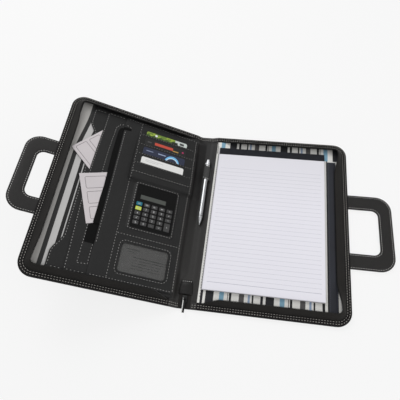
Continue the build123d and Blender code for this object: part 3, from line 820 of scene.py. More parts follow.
# %% Cover outline and cross-section
HANDLE_LOW, HANDLE_HIGH = -79.3, 69.3
SLOT_DEPTH = 80.8
START = {"right": 6.0, "left": 13.0}
SEAMS, SEAM_H = (3.6, 7.6), 7.92
EDGE_R, FLOOR_H, UNDER_INSET = 2.4, 7.0, 8.0
BORDER = [
    (12.6, FLOOR_H), (12.2, 7.35), (11.7, 7.8), (10.9, 8.0), (9.4, 8.06), (8.3, 8.0), (7.6, 7.84),
    (6.9, 8.0), (5.6, 8.1), (4.3, 8.0), (3.6, 7.84), (3.0, 7.93),
]
ROLL_TURNS = np.radians((8, 30, 55, 78))
EDGE = [(EDGE_R * (1 - math.sin(a)), COVER_T - EDGE_R * (1 - math.cos(a))) for a in ROLL_TURNS]
MOUTH_TOP, MOUTH_FOOT = (0.0, 5.0), (0.32, 1.2)
EDGE += [MOUTH_TOP, (0.0, 3.0), MOUTH_FOOT, (1.1, 0.38), (2.6, 0.0)]
RUN_POINTS, TURN_POINTS, FLANK_POINTS, MOUTH_POINTS = 40, 11, 15, 16
SIDE_FIRST = RUN_POINTS + TURN_POINTS - 1 + FLANK_POINTS - 2
SIDE_LAST = SIDE_FIRST + MOUTH_POINTS - 1


def rim_line(inset, start):
    """Points round the three free sides of a cover, always the same number of them."""
    reach, half = COVER_W - inset, COVER_H / 2 - inset
    r = max(CORNER_R - inset, 0.5)
    side = half - r
    low, high = (HANDLE_LOW, HANDLE_HIGH) if side > 100 else (-side * 0.5, side * 0.45)
    turn = np.radians(np.linspace(0, 90, TURN_POINTS))
    flank = np.concatenate([
        np.linspace(-side, low, FLANK_POINTS)[1:],
        np.linspace(low, high, MOUTH_POINTS)[1:],
        np.linspace(high, side, FLANK_POINTS)[1:],
    ])
    u = [
        np.linspace(start, reach - r, RUN_POINTS),
        reach - r + r * np.sin(turn[1:]),
        np.full(len(flank), reach),
        (reach - r + r * np.cos(turn))[1:],
        np.linspace(reach - r, start, RUN_POINTS)[1:],
    ]
    v = [
        np.full(RUN_POINTS, -half),
        (r - half - r * np.cos(turn))[1:],
        flank,
        (half - r + r * np.sin(turn))[1:],
        np.full(RUN_POINTS - 1, half),
    ]
    return np.concatenate(u), np.concatenate(v)


print("a cover's edge has", len(rim_line(0.0, START["right"])[0]), "stations")

# %% [markdown]
# The rings of the cross-section go on shrinking to the middle, to close the outside and the floor under
# the lining. Where the handle comes out, the faces of the edge are left away, and a bay with walls of its
# own leads into the cover.

# %% Wrapped cover


def cover_shell(place, start):
    """Points and faces of one wrapped cover with the handle slot in its edge."""
    deep = (180.9, 120.0, 60.0, 24.0)
    section = [(i, FLOOR_H) for i in deep] + BORDER + EDGE
    section += [(i, 0.0) for i in (UNDER_INSET, *deep[::-1])]
    rings = [rim_line(inset, start) for inset, _ in section]
    stations = len(rings[0][0])
    points = []
    for (u, v), (_, h) in zip(rings, section):
        points.extend(place(u, v, h).tolist())
    top, foot = section.index(MOUTH_TOP), section.index(MOUTH_FOOT)
    faces = []
    for ring in range(len(section) - 1):
        for k in range(stations - 1):
            if top <= ring < foot and SIDE_FIRST <= k < SIDE_LAST:
                continue
            a, b = ring * stations + k, (ring + 1) * stations + k
            faces.append([a, a + 1, b + 1, b])
    for ring in (0, len(section) - 1):
        for k in range(stations // 2):
            a, b = ring * stations + k, ring * stations + stations - 1 - k
            if b - a > 2:
                faces.append([a, a + 1, b - 1, b])
    end = [ring * stations for ring in range(len(section))]
    faces.append(end + [i + stations - 1 for i in end[::-1]])
    inner = COVER_W - SLOT_DEPTH
    count = SIDE_LAST - SIDE_FIRST
    bays = []
    for ring in (top, foot):
        _, v = rings[ring]
        row, bay = ring * stations + SIDE_FIRST, len(points)
        bays.append(bay)
        points.extend(place(inner, v[SIDE_FIRST:SIDE_LAST + 1], section[ring][1]).tolist())
        for k in range(count):
            faces.append([row + k, row + k + 1, bay + k + 1, bay + k])
    for k in range(count):
        faces.append([bays[0] + k, bays[0] + k + 1, bays[1] + k + 1, bays[1] + k])
    for k in (0, count):
        wall = [ring * stations + SIDE_FIRST + k for ring in range(top, foot + 1)]
        faces.append(wall + [bays[1] + k, bays[0] + k])
    return points, faces


print("a wrapped cover has", len(cover_shell(on_right, START["right"])[1]), "faces")

# %% [markdown]
# Both covers are this shell on their own sheets. Two rows of stitches go round each border, in the dips
# of the cross-section.

# %% Covers
PLACES = {"right": on_right, "left": on_left}
BODIES = {"right": "back_cover", "left": "front_cover"}
for side, place in PLACES.items():
    points, faces = cover_shell(place, START[side])
    add_piece(
        f"{side}_shaded_cover_leather", points, faces, shaded_cover_leather, BODIES[side], "black_leather",
        (f"{side}_cover_shell", f"{side}_cover_board"),
    )
    rows = []
    for inset in SEAMS:
        u, v = rim_line(inset, START[side] + 1)
        rows.append(np.stack([u, v, np.full(len(u), SEAM_H)], 1))
    points, faces = sew(rows, place, pitch=4.6, length=2.7, width=0.42)
    add_piece(f"{side}_border_stitching", points, faces, border_thread, BODIES[side], "black_leather")
    print(side, "cover with", len(faces), "stitch faces")

# %% [markdown]
# Between the covers the leather runs on over the spine in one soft hollow. Its outside lies on the
# table; its inside drops from the covers to the thinner spine, and on the left climbs onto the sewn edge
# of the pockets. A few functions say how high it is, so that seams and pieces can lie on it.

# %% Heights of the spine leather
SPINE_T = 4.0
SLOT_MOUTHS, SLOT_STEP, POCKET_EDGE_H = (135.0, 112.8, 90.6, 68.4), 1.76, 13.75


def ease(t):
    t = np.clip(t, 0, 1)
    return t * t * (3 - 2 * t)


def slot_height(v):
    """Top of the pocket edge along v: the stacked card slots stand higher."""
    steps = sum(ease((mouth + 4.0 - v) / 4.0) for mouth in SLOT_MOUTHS)
    return POCKET_EDGE_H + SLOT_STEP * steps * ease((v - 28.0) / 6.0)


def spine_top(side, run, v):
    """Inside height at a distance past the fold, negative on the spine."""
    low = SPINE_T + (COVER_T - SPINE_T) * ease((run + 9) / 17)
    if side == "right":
        return low
    before = 15.0 - 10.5 * ease((-116 - v) / 16)
    climb = np.clip((run + before) / (before + 8.5), 0, 1)
    high = SPINE_T + (slot_height(v) - SPINE_T) * (0.6 * climb + 0.4 * ease(climb))
    return low + (high - low) * ease((165 - np.abs(v)) / 5)


def spine_place(side, run, v, h):
    """A point at a distance past the fold, turning smoothly from the spine to the cover."""
    if side == "right":
        return on_right(run, v, h)
    share = ease((run + 8) / 16)[..., None]
    return (1 - share) * on_spine(-FOLD_X - run, v, h) + share * on_left(run, v, h)


print("the stacked slots stand", round(float(slot_height(50.0)), 1), "mm high")

# %% [markdown]
# The leather has to bend at both folds, so it is made as two halves that meet under the pen, and each
# half is blended across one fold. A half is a stack of closed sections, joined into a skin. The border's
# stitches go on over it.

# %% Spine leather
SPINE_SEAM, SPINE_SEAM_H, SPINE_BORDER = 7.0, 7.95, 12.9


def spine_half(side, runs):
    """Closed strip of leather from the cover to the seam under the pen."""
    half = COVER_H / 2
    border = BORDER[1:] + EDGE
    floor = [(v, 0.0) for v in np.linspace(half - UNDER_INSET, UNDER_INSET - half, 9)]
    inner = np.linspace(SPINE_BORDER - half, half - SPINE_BORDER, 90)
    rings = []
    for run in runs:
        rise = (float(spine_top("right", np.array(run), 0)) + 0.05) / COVER_T
        near = [(-half + i, h * rise) for i, h in border]
        far = [(half - i, h * rise) for i, h in border]
        tops = spine_top(side, np.array(run), inner) + 0 * inner
        ends = 0.4 * (1 - ease((max(runs) - run) / 0.8))
        section = floor + near[::-1] + list(zip(inner, tops - ends)) + far
        v, h = np.array(section).T
        rings.append(spine_place(side, np.full(len(v), float(run)), v, h))
    return skin(rings)


FOLDS = {
    "right": ("back_cover", "spine", (0.022, 0, 0.0045), (0.008, 0, 0.0045)),
    "left": ("spine", "front_cover", (-0.008, 0, 0.0045), (-0.0232, 0, 0.0079)),
}
for side in ("right", "left"):
    first = SPINE_SEAM - FOLD_X if side == "right" else -FOLD_X - SPINE_SEAM
    last = START[side]
    runs = [*np.linspace(first, last - 0.9, 34), last - 0.5, last - 0.2, last]
    half_strip = add_piece(f"spine_leather_{side}", *spine_half(side, runs), spine_leather, sharp=50)
    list(FOLDS[side])
    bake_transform(half_strip)
    if side == "right":
        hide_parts("spine_panel")
    rows = []
    for end in (-1, 1):
        for inset in SEAMS:
            run = np.linspace(first, last, 20)
            high = spine_top("right", run, 0) * SPINE_SEAM_H / COVER_T
            rows.append(np.stack([run, np.full(20, end * (COVER_H / 2 - inset)), high], 1))
    points, faces = sew(
        rows, lambda u, v, h, s=side: spine_place(s, u, v, h), pitch=4.0, length=2.8, width=0.4
    )
    seam = add_piece(f"spine_stitching_{side}", points, faces, border_thread)
    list(FOLDS[side])
    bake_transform(seam)
print("spine halves meet at x =", SPINE_SEAM)

# %% [markdown]
# The lining is glued to the board inside the border. It is one thin sheet of striped cloth per cover,
# with the slight ripple that glued cloth has. A flat face would do for the picture, but the ripple
# catches the light from low angles.

# %% Lining cloth
LINING_INSET = 12.5
for side, finish in (("right", bright_stripes), ("left", shaded_stripes)):
    reach, half = COVER_W - LINING_INSET, COVER_H / 2 - LINING_INSET
    loop = rounded_box(START[side], reach, -half, half, [13.5, 13.5, 0.0, 0.0])
    ripple = lambda u, v: 7.58 + 0.1 * np.sin(u / 8.0 + np.sin(v / 31.0)) * np.sin(v / 23.0)
    shape = cut_sheet([loop], 7.02, ripple, PLACES[side], edge=0.3, spacing=9.0)
    cloth = add_piece(
        f"{side}_lining_cloth", *shape, finish, BODIES[side], "striped_lining", (f"{side}_lining",)
    )
    print(cloth.name, len(cloth.data.vertices), "points")
lining_thread = make_thread("lining_thread", grey(150), grey(112))
edge_row = line((9.4, -160.0, 7.6), (9.4, 160.0, 7.6))
edge_seam = sew([edge_row], on_right, pitch=5.0, length=2.6, width=0.5)
add_piece("lining_edge_stitching", *edge_seam, lining_thread, "back_cover", "striped_lining")

# %% [markdown]
# The zip runs round the three free sides: a woven tape stands up from the border and leans inwards, with
# a nylon coil along its free edge. The tape's finish is a slanted weave that has faded here and there,
# and the nylon is smooth with a few scuffs.

# %% Zip tape and coil finishes


def make_tape():
    finish = Finish("zip_tape", specular_ior_level=0.14, sheen_weight=0.03)
    x, y, z = finish.axes("spine")
    weave = ((x + y) * 5.2).sine() * ((z + 0.3 * x - 0.3 * y) * 7.0).sine()
    fade = finish.noise(22.0, detail=3.0)
    finish.feed(
        base_color=finish.mix(fade * 0.8 + weave * 0.12, shade(22, 21, 20), shade(45, 43, 41)),
        roughness=0.6 + 0.2 * fade,
    )
    finish.bump(weave, strength=0.35, depth=0.00018)
    return finish.material


def make_nylon(name, dark, light, rough):
    finish = Finish(name, specular_ior_level=0.35)
    scuff = finish.noise(120.0, detail=5.0)
    finish.feed(base_color=finish.mix(scuff, dark, light), roughness=rough + 0.2 * scuff)
    finish.bump(scuff, strength=0.15, depth=0.0001)
    return finish.material


tape_finish = make_tape()
coil_finish = make_nylon("coil_nylon", grey(20), grey(42), rough=0.34)
print("zip finishes", tape_finish.name, coil_finish.name)

# %% [markdown]
# The tape is a swept section with a slight belly. Near the spine it runs down to nothing. Along the outer
# side it has fallen nearly flat on the back cover and part of the way on the front one, so its lean and
# its height change from station to station.

# %% Zip tape
TAPE_FOOT, TAPE_LEAN, RIM_H = 10.0, 8.0, 12.2
TAPE_W, TAPE_HALF = math.hypot(TAPE_LEAN, RIM_H), 0.45
TAPE_FALL = {"right": 6.2, "left": 3.0}
TAPE_START = 14.4
TAPE_STEPS = (0.0, 0.15, 0.4, 0.65, 0.88, 1.0)
TAPE_FACES = [(t, 1) for t in TAPE_STEPS] + [(t, -1) for t in TAPE_STEPS[::-1]]


def rim_between(inset, start):
    """Rim points whose inset differs from station to station."""
    near_u, near_v = rim_line(TAPE_FOOT, start)
    far_u, far_v = rim_line(TAPE_FOOT + TAPE_LEAN, start)
    share = (inset - TAPE_FOOT) / TAPE_LEAN
    return near_u + share * (far_u - near_u), near_v + share * (far_v - near_v)


def tape_stand(side, start):
    """How far the tape leans in, how high it stands, its share of full width and its fall."""
    u, v = rim_line(TAPE_FOOT, start)
    fallen = ease((v + 154.0) / 48.0) * ease((150.0 - v) / 40.0) * (u > COVER_W - 15.0)
    lean = TAPE_LEAN + TAPE_FALL[side] * fallen
    return lean, np.sqrt(TAPE_W ** 2 - lean ** 2), np.clip((u - 14.0) / 30.0, 0.0, 1.0), fallen


def zip_tape(side, place):
    """Closed band from the border up to the coil."""
    lean, rise, full, fallen = tape_stand(side, TAPE_START)
    count = np.arange(len(full))
    sway = 0.45 * np.sin(count * 0.31) + 0.3 * np.sin(count * 0.83 + 1.0)
    out, lift = -TAPE_HALF * rise / TAPE_W, TAPE_HALF * lean / TAPE_W
    rows = []
    for t, face in TAPE_FACES:
        belly = (1.3 + sway) * math.sin(math.pi * t) * full
        inset = TAPE_FOOT + lean * t * full - belly * rise / RIM_H + face * out
        height = COVER_T - 0.05 + rise * t * full + face * lift * min(1, t * 8)
        u, v = rim_between(inset, TAPE_START)
        rows.append(place(u, v, height + (0.25 + 0.6 * fallen) * belly))
    return skin(np.stack(rows, 1))


print("the zip tape is", round(TAPE_W, 1), "mm wide")

# %% [markdown]
# Every turn of the coil is a small bead across the tape's free edge, since a plain tube would look like
# piping. The beads follow the same lean and height as the tape.

# %% Zip coil
COIL_START = 18.0
BEAD_RINGS = ((-0.46, 0.55), (-0.18, 1.0), (0.18, 1.0), (0.46, 0.55))
BEAD_TURNS = [2 * math.pi * (corner + 0.5) / 6 for corner in range(6)]


def beads(path, place, pitch, wide, long, high):
    """Row of small rounded bars that lie across a path of (u, v, h) points."""
    path, far = measured(path)
    bars = []
    for spot in np.arange(pitch / 2, far[-1], pitch):
        middle = spot_on(path, far, spot)
        ahead, aside, up = directions(spot_on(path, far, spot + 0.4) - middle)
        rings = []
        for run, swell in BEAD_RINGS:
            rings.append([
                middle + aside * run * wide
                + (ahead * math.cos(turn) * long + up * math.sin(turn) * high) * swell / 2
                for turn in BEAD_TURNS
            ])
        bars.append(skin(rings))
    return laid(place, bars)


for side, place in PLACES.items():
    add_piece(
        f"{side}_zip_tape", *zip_tape(side, place), tape_finish, BODIES[side], "zip_tape",
        (f"{side}_zip_half",),
    )
    lean, rise, full, _ = tape_stand(side, COIL_START)
    u, v = rim_between(TAPE_FOOT + (lean + 0.5) * full, COIL_START)
    coil_line = np.stack([u, v, COVER_T + (rise - 1.1) * full], 1)
    coil = beads(coil_line, place, pitch=1.6, wide=2.9, long=1.25, high=2.0)
    add_piece(f"{side}_zip_coil", *coil, coil_finish, BODIES[side], "zip_tape", sharp=60)
print("coil of", len(coil[0]) // (len(BEAD_RINGS) * len(BEAD_TURNS)), "turns per cover")

# %% [markdown]
# The handles are flat leather loops on a stiff core. Two layers are sewn together close to every edge, so
# the leather is pinched at the edge, dips at the seam and is full in between. The crown function says how
# thick the loop is at each distance from its edge.

# %% Handles
GRIP_END = {"right": 346.0, "left": 319.0}
GRIP_UNDER, GRIP_OVER, GRIP_MID = 1.5, 4.7, 3.1
SEAM_GAP, SEAM_LIFT = 3.2, 1.6 * 0.72
CROWN_GAPS = (0, 0.15, 0.5, 1.1, 2.4, SEAM_GAP, 4.2, 6.5, 10.0)
CROWN_SHARES = (0, 0.36, 0.62, 0.76, 0.78, 0.7, 0.84, 0.97, 1.0)


def handle_crown(gap):
    """Share of the full thickness at a distance from the edge."""
    return np.interp(gap, CROWN_GAPS, CROWN_SHARES)


for side, place in PLACES.items():
    end, grip = GRIP_END[side], f"{side}_handle"
    outer = rounded_box(end - 109.0, end, -79.0, 69.0, [28.0, 28.0, 3.0, 3.0], step=4.0)
    window = rounded_box(end - 89.0, end - 25.0, -49.0, 39.0, 12.0, step=4.0)
    shape = cut_sheet(
        [outer, window], GRIP_UNDER, GRIP_OVER, place, gaps=CROWN_GAPS[1:-1], spacing=6.0,
        crown=handle_crown,
    )
    add_piece(f"{grip}_leather", *shape, handle_leather, grip, "black_leather", (grip,))
    rows = []
    for loop in facing_in([outer, window]):
        seam = offset_loop(loop, SEAM_GAP)
        seam = np.concatenate([seam, seam[:1]])
        for face in (GRIP_MID + SEAM_LIFT, GRIP_MID - SEAM_LIFT):
            rows.append(np.column_stack([seam, np.full(len(seam), face)]))
    seams = sew(rows, place, pitch=4.2, length=2.9, width=0.38)
    add_piece(f"{grip}_stitching", *seams, thread, grip, "black_leather")
    print(side, "handle of", len(shape[0]), "points")

# %% [markdown]
# The front cover carries three leather panels, one on top of the other: the document pocket with a mouth
# that is cut back between two ears, a slip pocket on it, and the organizer with the card slots,
# calculator and card window. Each panel is a cut sheet that hangs a little above the one below and is
# drawn down to it along its sewn edges, so there is a real gap at every pocket mouth.

# %% Pocket panels
POCKET_IN, POCKET_V, SLIT_U = 8.5, 162.0, 160.0
CALC_U, CALC_V, CALC_HALF = 71.0, -18.0, (38.0, 43.0)
WINDOW_V, WINDOW_HALF = -117.5, (43.0, 26.5)


def document_mouth(v):
    return 211.4 + 14.6 * ease((-100.0 - v) / 36.0) + 12.6 * ease((v - 102.0) / 28.0)


def slip_mouth(v):
    return 197.6 + 4.4 * np.cos(math.pi * np.clip(v / 330.0, -0.5, 0.5)) ** 2


def panel_outline(mouth, half=POCKET_V):
    """Sewn side along the spine, open mouth towards the cover's edge."""
    v = np.linspace(-half, half, 82)
    loop = [(POCKET_IN, -half), *zip(mouth(v), v), (POCKET_IN, half)]
    return split_long([(float(a), float(b)) for a, b in loop], 5.0)


def sewn_down(u, v):
    """1 along the three sewn edges of a panel, 0 inside."""
    return np.maximum(ease((14.0 - u) / 4.0), ease((np.abs(v) - 156.5) / 4.0))


def panel(name, loops, node, low, high, drop):
    """One leather panel of the front cover, standing for a solid."""
    wave = lambda u, v: high + 0.14 * np.sin(u / 27.0 + 1.0) * np.sin(v / 41.0)
    shape = cut_sheet(loops, lambda u, v: low - drop * sewn_down(u, v), wave, on_left)
    add_piece(name, *shape, pocket_leather, "front_cover", "black_leather", (node,))


document_outline = panel_outline(document_mouth, POCKET_V + 5.5)
slip_outline = panel_outline(slip_mouth)
panel("document_pocket", [document_outline], "document_pocket_panel", low=8.8, high=9.75, drop=1.15)
panel("slip_pocket", [slip_outline], "slip_pocket_panel", low=10.6, high=11.35, drop=0.9)
calculator_hole = box_about((CALC_U, CALC_V), np.add(CALC_HALF, 0.25), 3.2)
window_hole = box_about((CALC_U, WINDOW_V), WINDOW_HALF, 7.0)
organizer_loops = [panel_outline(lambda v: np.full(len(v), SLIT_U)), calculator_hole, window_hole]
panel("organizer", organizer_loops, "organizer_panel", low=12.45, high=13.35, drop=0.95)
print("mouths at u =", float(document_mouth(0.0)), float(slip_mouth(0.0)), SLIT_U)

# %% [markdown]
# The slit pocket under the organizer's edge has a welt of dull black cloth along its mouth, which hangs
# over whatever is pushed into the pocket, and black cloth on its floor. The cloth is made nearly black
# so that it also stands for the shade inside the slit: painted shade. Both are thin cut sheets. At its
# head the slit turns a corner, and there a short strip lies on the organizer like a buttonhole.

# %% Slit of the organizer


def make_cloth(name, dark, light):
    finish = Finish(name, specular_ior_level=0.12)
    sockets = {"Vector": finish.place(), "Scale": 2600.0}
    weave = finish.node("ShaderNodeTexChecker", {}, sockets, out="Fac")
    lint = finish.noise(90.0, detail=5.0)
    finish.feed(
        base_color=finish.mix(lint * 0.7 + weave * 0.2, dark, light),
        roughness=0.8 + 0.15 * lint,
    )
    finish.bump(weave, strength=0.3, depth=0.0001)
    return finish.material


# near-black: the cloth also stands for the shade inside the slit, painted shade
slit_shade_cloth = make_cloth("slit_shade_cloth", grey(7), grey(20))
slit_floor = [(157.0, -107.0), (176.8, -107.0), (177.3, -88.0), (176.4, -62.0), (157.0, -62.0)]
slit_welt = [
    (157.0, -71.0), (171.2, -70.5), (170.6, -47.0), (170.6, -21.0), (169.6, 1.4), (169.8, 24.0),
    (170.4, 40.5), (171.2, 76.0), (170.7, 98.0), (170.4, 114.0), (169.8, 126.0), (167.8, 132.0),
    (164.0, 135.2), (157.0, 135.5),
]
slit_notch = [(146.0, 133.2), (160.5, 131.5), (162.0, 137.5), (150.0, 140.0), (147.0, 138.6)]
welt_top = lambda u, v: 12.5 + 0.35 * ease((u - 162.0) / 9.0) * (0.6 + 0.4 * np.sin(v / 17.0))
welt_low = lambda u, v: welt_top(u, v) - 0.26
slit = together(
    cut_sheet([split_long(slit_floor, 5.0)], 11.3, 11.5, on_left, edge=0.2),
    cut_sheet([split_long(slit_welt, 4.0)], welt_low, welt_top, on_left, edge=0.2, spacing=4.0),
    cut_sheet([split_long(slit_notch, 3.0)], 13.25, 13.5, on_left, edge=0.2),
)
add_piece("slit_shade_lining", *slit, slit_shade_cloth, "front_cover", "black_leather")
print("slit lining of", len(slit[0]), "points")

# %% [markdown]
# Four card slots step down the organizer. Each is a leather strip, sewn down at its two sides and its
# foot and open at its head, and stands one card thickness above the one behind it.

# %% Card slots
SLOT_FOOT, SLOT_BASE, COLUMN_END = 33.0, 13.4, 130.5


def frame_rise(u, v):
    """How far the leather rises towards the calculator's edge."""
    past_u = np.maximum(np.abs(u - CALC_U) - CALC_HALF[0], 0)
    past_v = np.maximum(np.abs(v - CALC_V) - CALC_HALF[1], 0)
    return 2.85 * ease(1.18 - np.hypot(past_u, past_v) / 6.0)


def strip_top(step):
    return SLOT_BASE + SLOT_STEP * (step + 1)


def tuck(u, v):
    """1 along the sewn sides and foot of a strip, 0 inside."""
    return np.maximum.reduce([ease((12.5 - u) / 2.5), ease((u - 127.5) / 2.0), ease((37.0 - v) / 2.5)])


def strip_rest(u, v):
    """Height at which the last strip's foot lies on the organizer and the calculator's frame."""
    return 13.62 + frame_rise(u, v)


strips = []
for step, mouth in enumerate(SLOT_MOUTHS):
    high, last = strip_top(step), mouth == SLOT_MOUTHS[-1]
    foot = 28.6 if last else SLOT_FOOT - 0.4 * step
    slope = lambda u, v, h=high: h - (h - strip_rest(u, v)) * ease((35.4 - v) / 6.8)
    low = lambda u, v, h=high: h - 0.62 - (SLOT_STEP - 0.7) * tuck(u, v)
    under = (lambda u, v: np.where(v < 36.4, 13.0, low(u, v))) if last else low
    over = slope if last else (lambda u, v, h=high: h - 0.2 * ease((36.6 - v) / 4.4))
    loop = [(POCKET_IN, foot), (COLUMN_END, foot), (COLUMN_END, mouth), (POCKET_IN, mouth)]
    spacing = 2.4 if last else 5.0
    strips.append(cut_sheet([split_long(loop, 4.0)], under, over, on_left, edge=0.3, spacing=spacing))
add_piece(
    "card_slots", *together(*strips), pocket_leather, "front_cover", "black_leather",
    ("card_slot_strips",),
)
print("slot strips", [round(strip_top(step), 2) for step in range(len(SLOT_MOUTHS))], "mm high")

# %% [markdown]
# A leather frame rises round the calculator and laps its edge, and a rolled bead goes round the card
# window. Both are cut sheets with a hole. The frame's height follows the distance from the calculator,
# and the bead is so narrow that its rounded edges nearly meet.

# %% Calculator frame and window bead
frame_outline = box_about((CALC_U, CALC_V), (45.5, 50.5), 10.0)
frame_top = lambda u, v: 13.45 + frame_rise(u, v)
calculator_frame = cut_sheet(
    [frame_outline, calculator_hole], 13.2, frame_top, on_left, edge=0.4, spacing=3.0,
    gaps=(0.1, 0.4, 1.2, 2.4, 3.6, 4.8),
)
bead_outer = box_about((CALC_U, WINDOW_V), (45.4, 28.9), 9.4, step=3.0)
bead_inner = box_about((CALC_U, WINDOW_V), (42.5, 26.0), 6.5, step=3.0)
window_bead = cut_sheet(
    [bead_outer, bead_inner], 12.9, 14.15, on_left, gaps=(0.2, 0.6, 1.2), spacing=3.0, edge=1.2
)
both = together(calculator_frame, window_bead)
add_piece("organizer_frames", *both, pocket_leather, "front_cover", "black_leather")
print("frame and bead of", len(both[0]), "points")

# %% [markdown]
# The seams of the front cover follow the photograph: along each pocket mouth, round the slit, across the
# column under every slot, round the calculator and the card window, and along the sewn edges. They are
# lists of points, so a seam can be read as a line on the cover. Seams that a card slides over are drawn
# in deeper.

# %% Seams of the front cover
ORGANIZER_TOP, SLIP_TOP, DOCUMENT_TOP = 13.38, 11.4, 9.8
COLUMN_SEAM, INNER_SEAM, END_SEAM = 127.6, 11.2, 158.8
SUNK = 0.36


def seam_at(height, *points):
    """Straight runs through (u, v) points, all at one height."""
    return line(*[(u, v, height) for u, v in points])


def closed(loop, height):
    """Sewing all round an outline."""
    ring = np.concatenate([loop, loop[:1]])
    return np.column_stack([ring, np.full(len(ring), height)])


along = np.linspace(-END_SEAM, END_SEAM, 90)
seams = [
    np.column_stack([document_mouth(along) - 2.8, along, np.full(90, DOCUMENT_TOP)]),
    np.column_stack([slip_mouth(along) - 2.2, along, np.full(90, SLIP_TOP)]),
    seam_at(ORGANIZER_TOP, (157.4, -104), (157.4, 129)),
    seam_at(SLIP_TOP, (162, -107), (162, -143), (179, -144.5), (178.4, -100), (178.4, -58)),
    seam_at(
        SLIP_TOP, (179.0, 16), (179.0, 40), (178.4, 76), (177.0, 106), (174.9, 133), (169.0, 141.6),
        (162, 143.6),
    ),
    seam_at(ORGANIZER_TOP, (158.5, 144.0), (153, 142.2), (145.5, 139)),
    seam_at(ORGANIZER_TOP, (INNER_SEAM + 2.4, -77), (COLUMN_SEAM, -77)),
    seam_at(strip_top(3), (INNER_SEAM + 2.4, 47.2), (COLUMN_SEAM, 47.2)),
    seam_at(ORGANIZER_TOP, (COLUMN_SEAM, -END_SEAM), (COLUMN_SEAM, 27.2)),
    seam_at(ORGANIZER_TOP, (COLUMN_SEAM, SLOT_MOUTHS[0] + 1), (COLUMN_SEAM, END_SEAM)),
    closed(rounded_box(30.0, 112.0, -64.0, 27.6, 2.4), 16.02),
    closed(rounded_box(24.0, 118.0, -147.7, -87.3, 10.0), ORGANIZER_TOP),
]
fall = np.linspace(37.0, 27.6, 16)
seams.append(np.column_stack([np.full(16, COLUMN_SEAM), fall, slope(COLUMN_SEAM, fall) + 0.05]))
for end in (-1, 1):
    top = ORGANIZER_TOP - SUNK if end > 0 else ORGANIZER_TOP
    for begin, stop, height in ((13.6, 156, top), (163, 194, SLIP_TOP), (201, 219, DOCUMENT_TOP)):
        seams.append(seam_at(height, (begin, end * END_SEAM), (stop, end * END_SEAM)))
for step, mouth in enumerate(SLOT_MOUTHS):
    below = SLOT_MOUTHS[step + 1] if step < 3 else SLOT_FOOT + 4
    high = strip_top(step)
    seams.append(seam_at(high - SUNK, (13.6, mouth - 1.7), (COLUMN_SEAM + 1.6, mouth - 1.7)))
    seams.append(seam_at(high, (COLUMN_SEAM, mouth - 2.5), (COLUMN_SEAM, below + 0.5)))
add_piece("pocket_stitching", *sew(seams, on_left), pocket_thread, "front_cover", "black_leather")
print(len(seams), "seams on the front cover")

# %% [markdown]
# The seam that joins the pockets to the spine leather climbs over the stacked slots with it. It lies on
# the part of that leather that moves with the front cover, so it rides there.

# %% Seam along the spine side
along = np.linspace(-END_SEAM, END_SEAM, 160)
edge_row = np.column_stack([np.full(160, INNER_SEAM), along, slot_height(along) + 0.02])
edge_seam = sew([edge_row], on_left)
add_piece("pocket_edge_stitching", *edge_seam, pocket_thread, "front_cover", "black_leather")
print("the edge seam climbs to", round(float(edge_row[:, 2].max()), 1), "mm")

# %% [markdown]
# Two sheets of note paper stick out of the pockets. They carry an empty printed form: thin boxes with
# round corners. The boxes are drawn in the finish from the distance to a rounded rectangle, in the
# sheet's own directions, so that they lie square on a sheet that is turned in its pocket.

# %% Note paper


def rounded_line(a, b, middle, half, corner, width):
    """1 on the outline of a rounded rectangle, 0 elsewhere."""
    over_a = a.math("MAXIMUM", abs(a - middle[0]) - (half[0] - corner), 0.0)
    over_b = b.math("MAXIMUM", abs(b - middle[1]) - (half[1] - corner), 0.0)
    inner = a.math("MAXIMUM", abs(a - middle[0]) - half[0], abs(b - middle[1]) - half[1])
    round_off = a.math("SQRT", over_a * over_a + over_b * over_b) - corner
    edge = a.math("MAXIMUM", round_off, a.math("MINIMUM", inner, 0.0))
    return abs(edge) < width / 2


def make_paper(name, boxes, corner, turn):
    """Paper with boxes, given as (middle, half size) in the sheet's own directions."""
    finish = Finish(name, specular_ior_level=0.2)
    u, v, _ = finish.axes("left")
    c, s = math.cos(math.radians(turn)), math.sin(math.radians(turn))
    along, down = (corner[0] - u), (v - corner[1])
    a, b = along * c + down * s, down * c - along * s
    fibre = finish.noise(900.0, detail=6.0)
    cloud = finish.noise(30.0, detail=3.0)
    colour = finish.mix(fibre * 0.35 + cloud * 0.5, shade(206, 200, 202), shade(186, 181, 183))
    for middle, half in boxes:
        mask = rounded_line(a, b, middle, half, corner=2.4, width=0.8)
        colour = finish.mix(mask * 0.85, colour, shade(70, 62, 66))
    finish.feed(base_color=colour, roughness=0.72 + 0.16 * fibre)
    finish.bump(fibre + cloud, strength=0.1, depth=0.0001)
    return finish.material


tall_boxes = [((a, -29.0), (11.5, 24.5)) for a in (17.5, 47.0, 76.5)]
wide_boxes = [((27.5, b), (18.5, 11.2)) for b in (-18.5, -47.5, -76.5)]
NOTES = {
    "note_sheet_1": (
        (243.6, 63.0), 50.3, (100.0, 100.0), 10.22, 0.2, [*tall_boxes, ((32.0, -78.0), (26.0, 17.0))]
    ),
    "note_sheet_2": ((216.7, 12.9), 21.7, (50.0, 95.0), 12.02, 1.3, wide_boxes),
}
for name, (corner, turn, size, height, lift, boxes) in NOTES.items():
    c, s = math.cos(math.radians(turn)), math.sin(math.radians(turn))
    loop = []
    for a, b in ((0, 0), (size[0], 0), (size[0], -size[1]), (0, -size[1])):
        loop.append((corner[0] - a * c + b * s, corner[1] + a * s + b * c))
    curl = lambda u, v, far=corner[0], lift=lift: lift * ease((u - far + 34.0) / 36.0)
    low = lambda u, v, h=height: h - 0.1 + curl(u, v)
    high = lambda u, v, h=height: h + 0.1 + curl(u, v)
    paper = make_paper(f"{name}_paper", boxes, corner, turn)
    page = cut_sheet([split_long(loop, 5.0)], low, high, on_left, edge=0.12, spacing=5.0)
    add_piece(f"{name}_page", *page, paper, name, "note_paper", (name,))
    print(name, "turned by", turn, "degrees, with", len(boxes), "boxes")

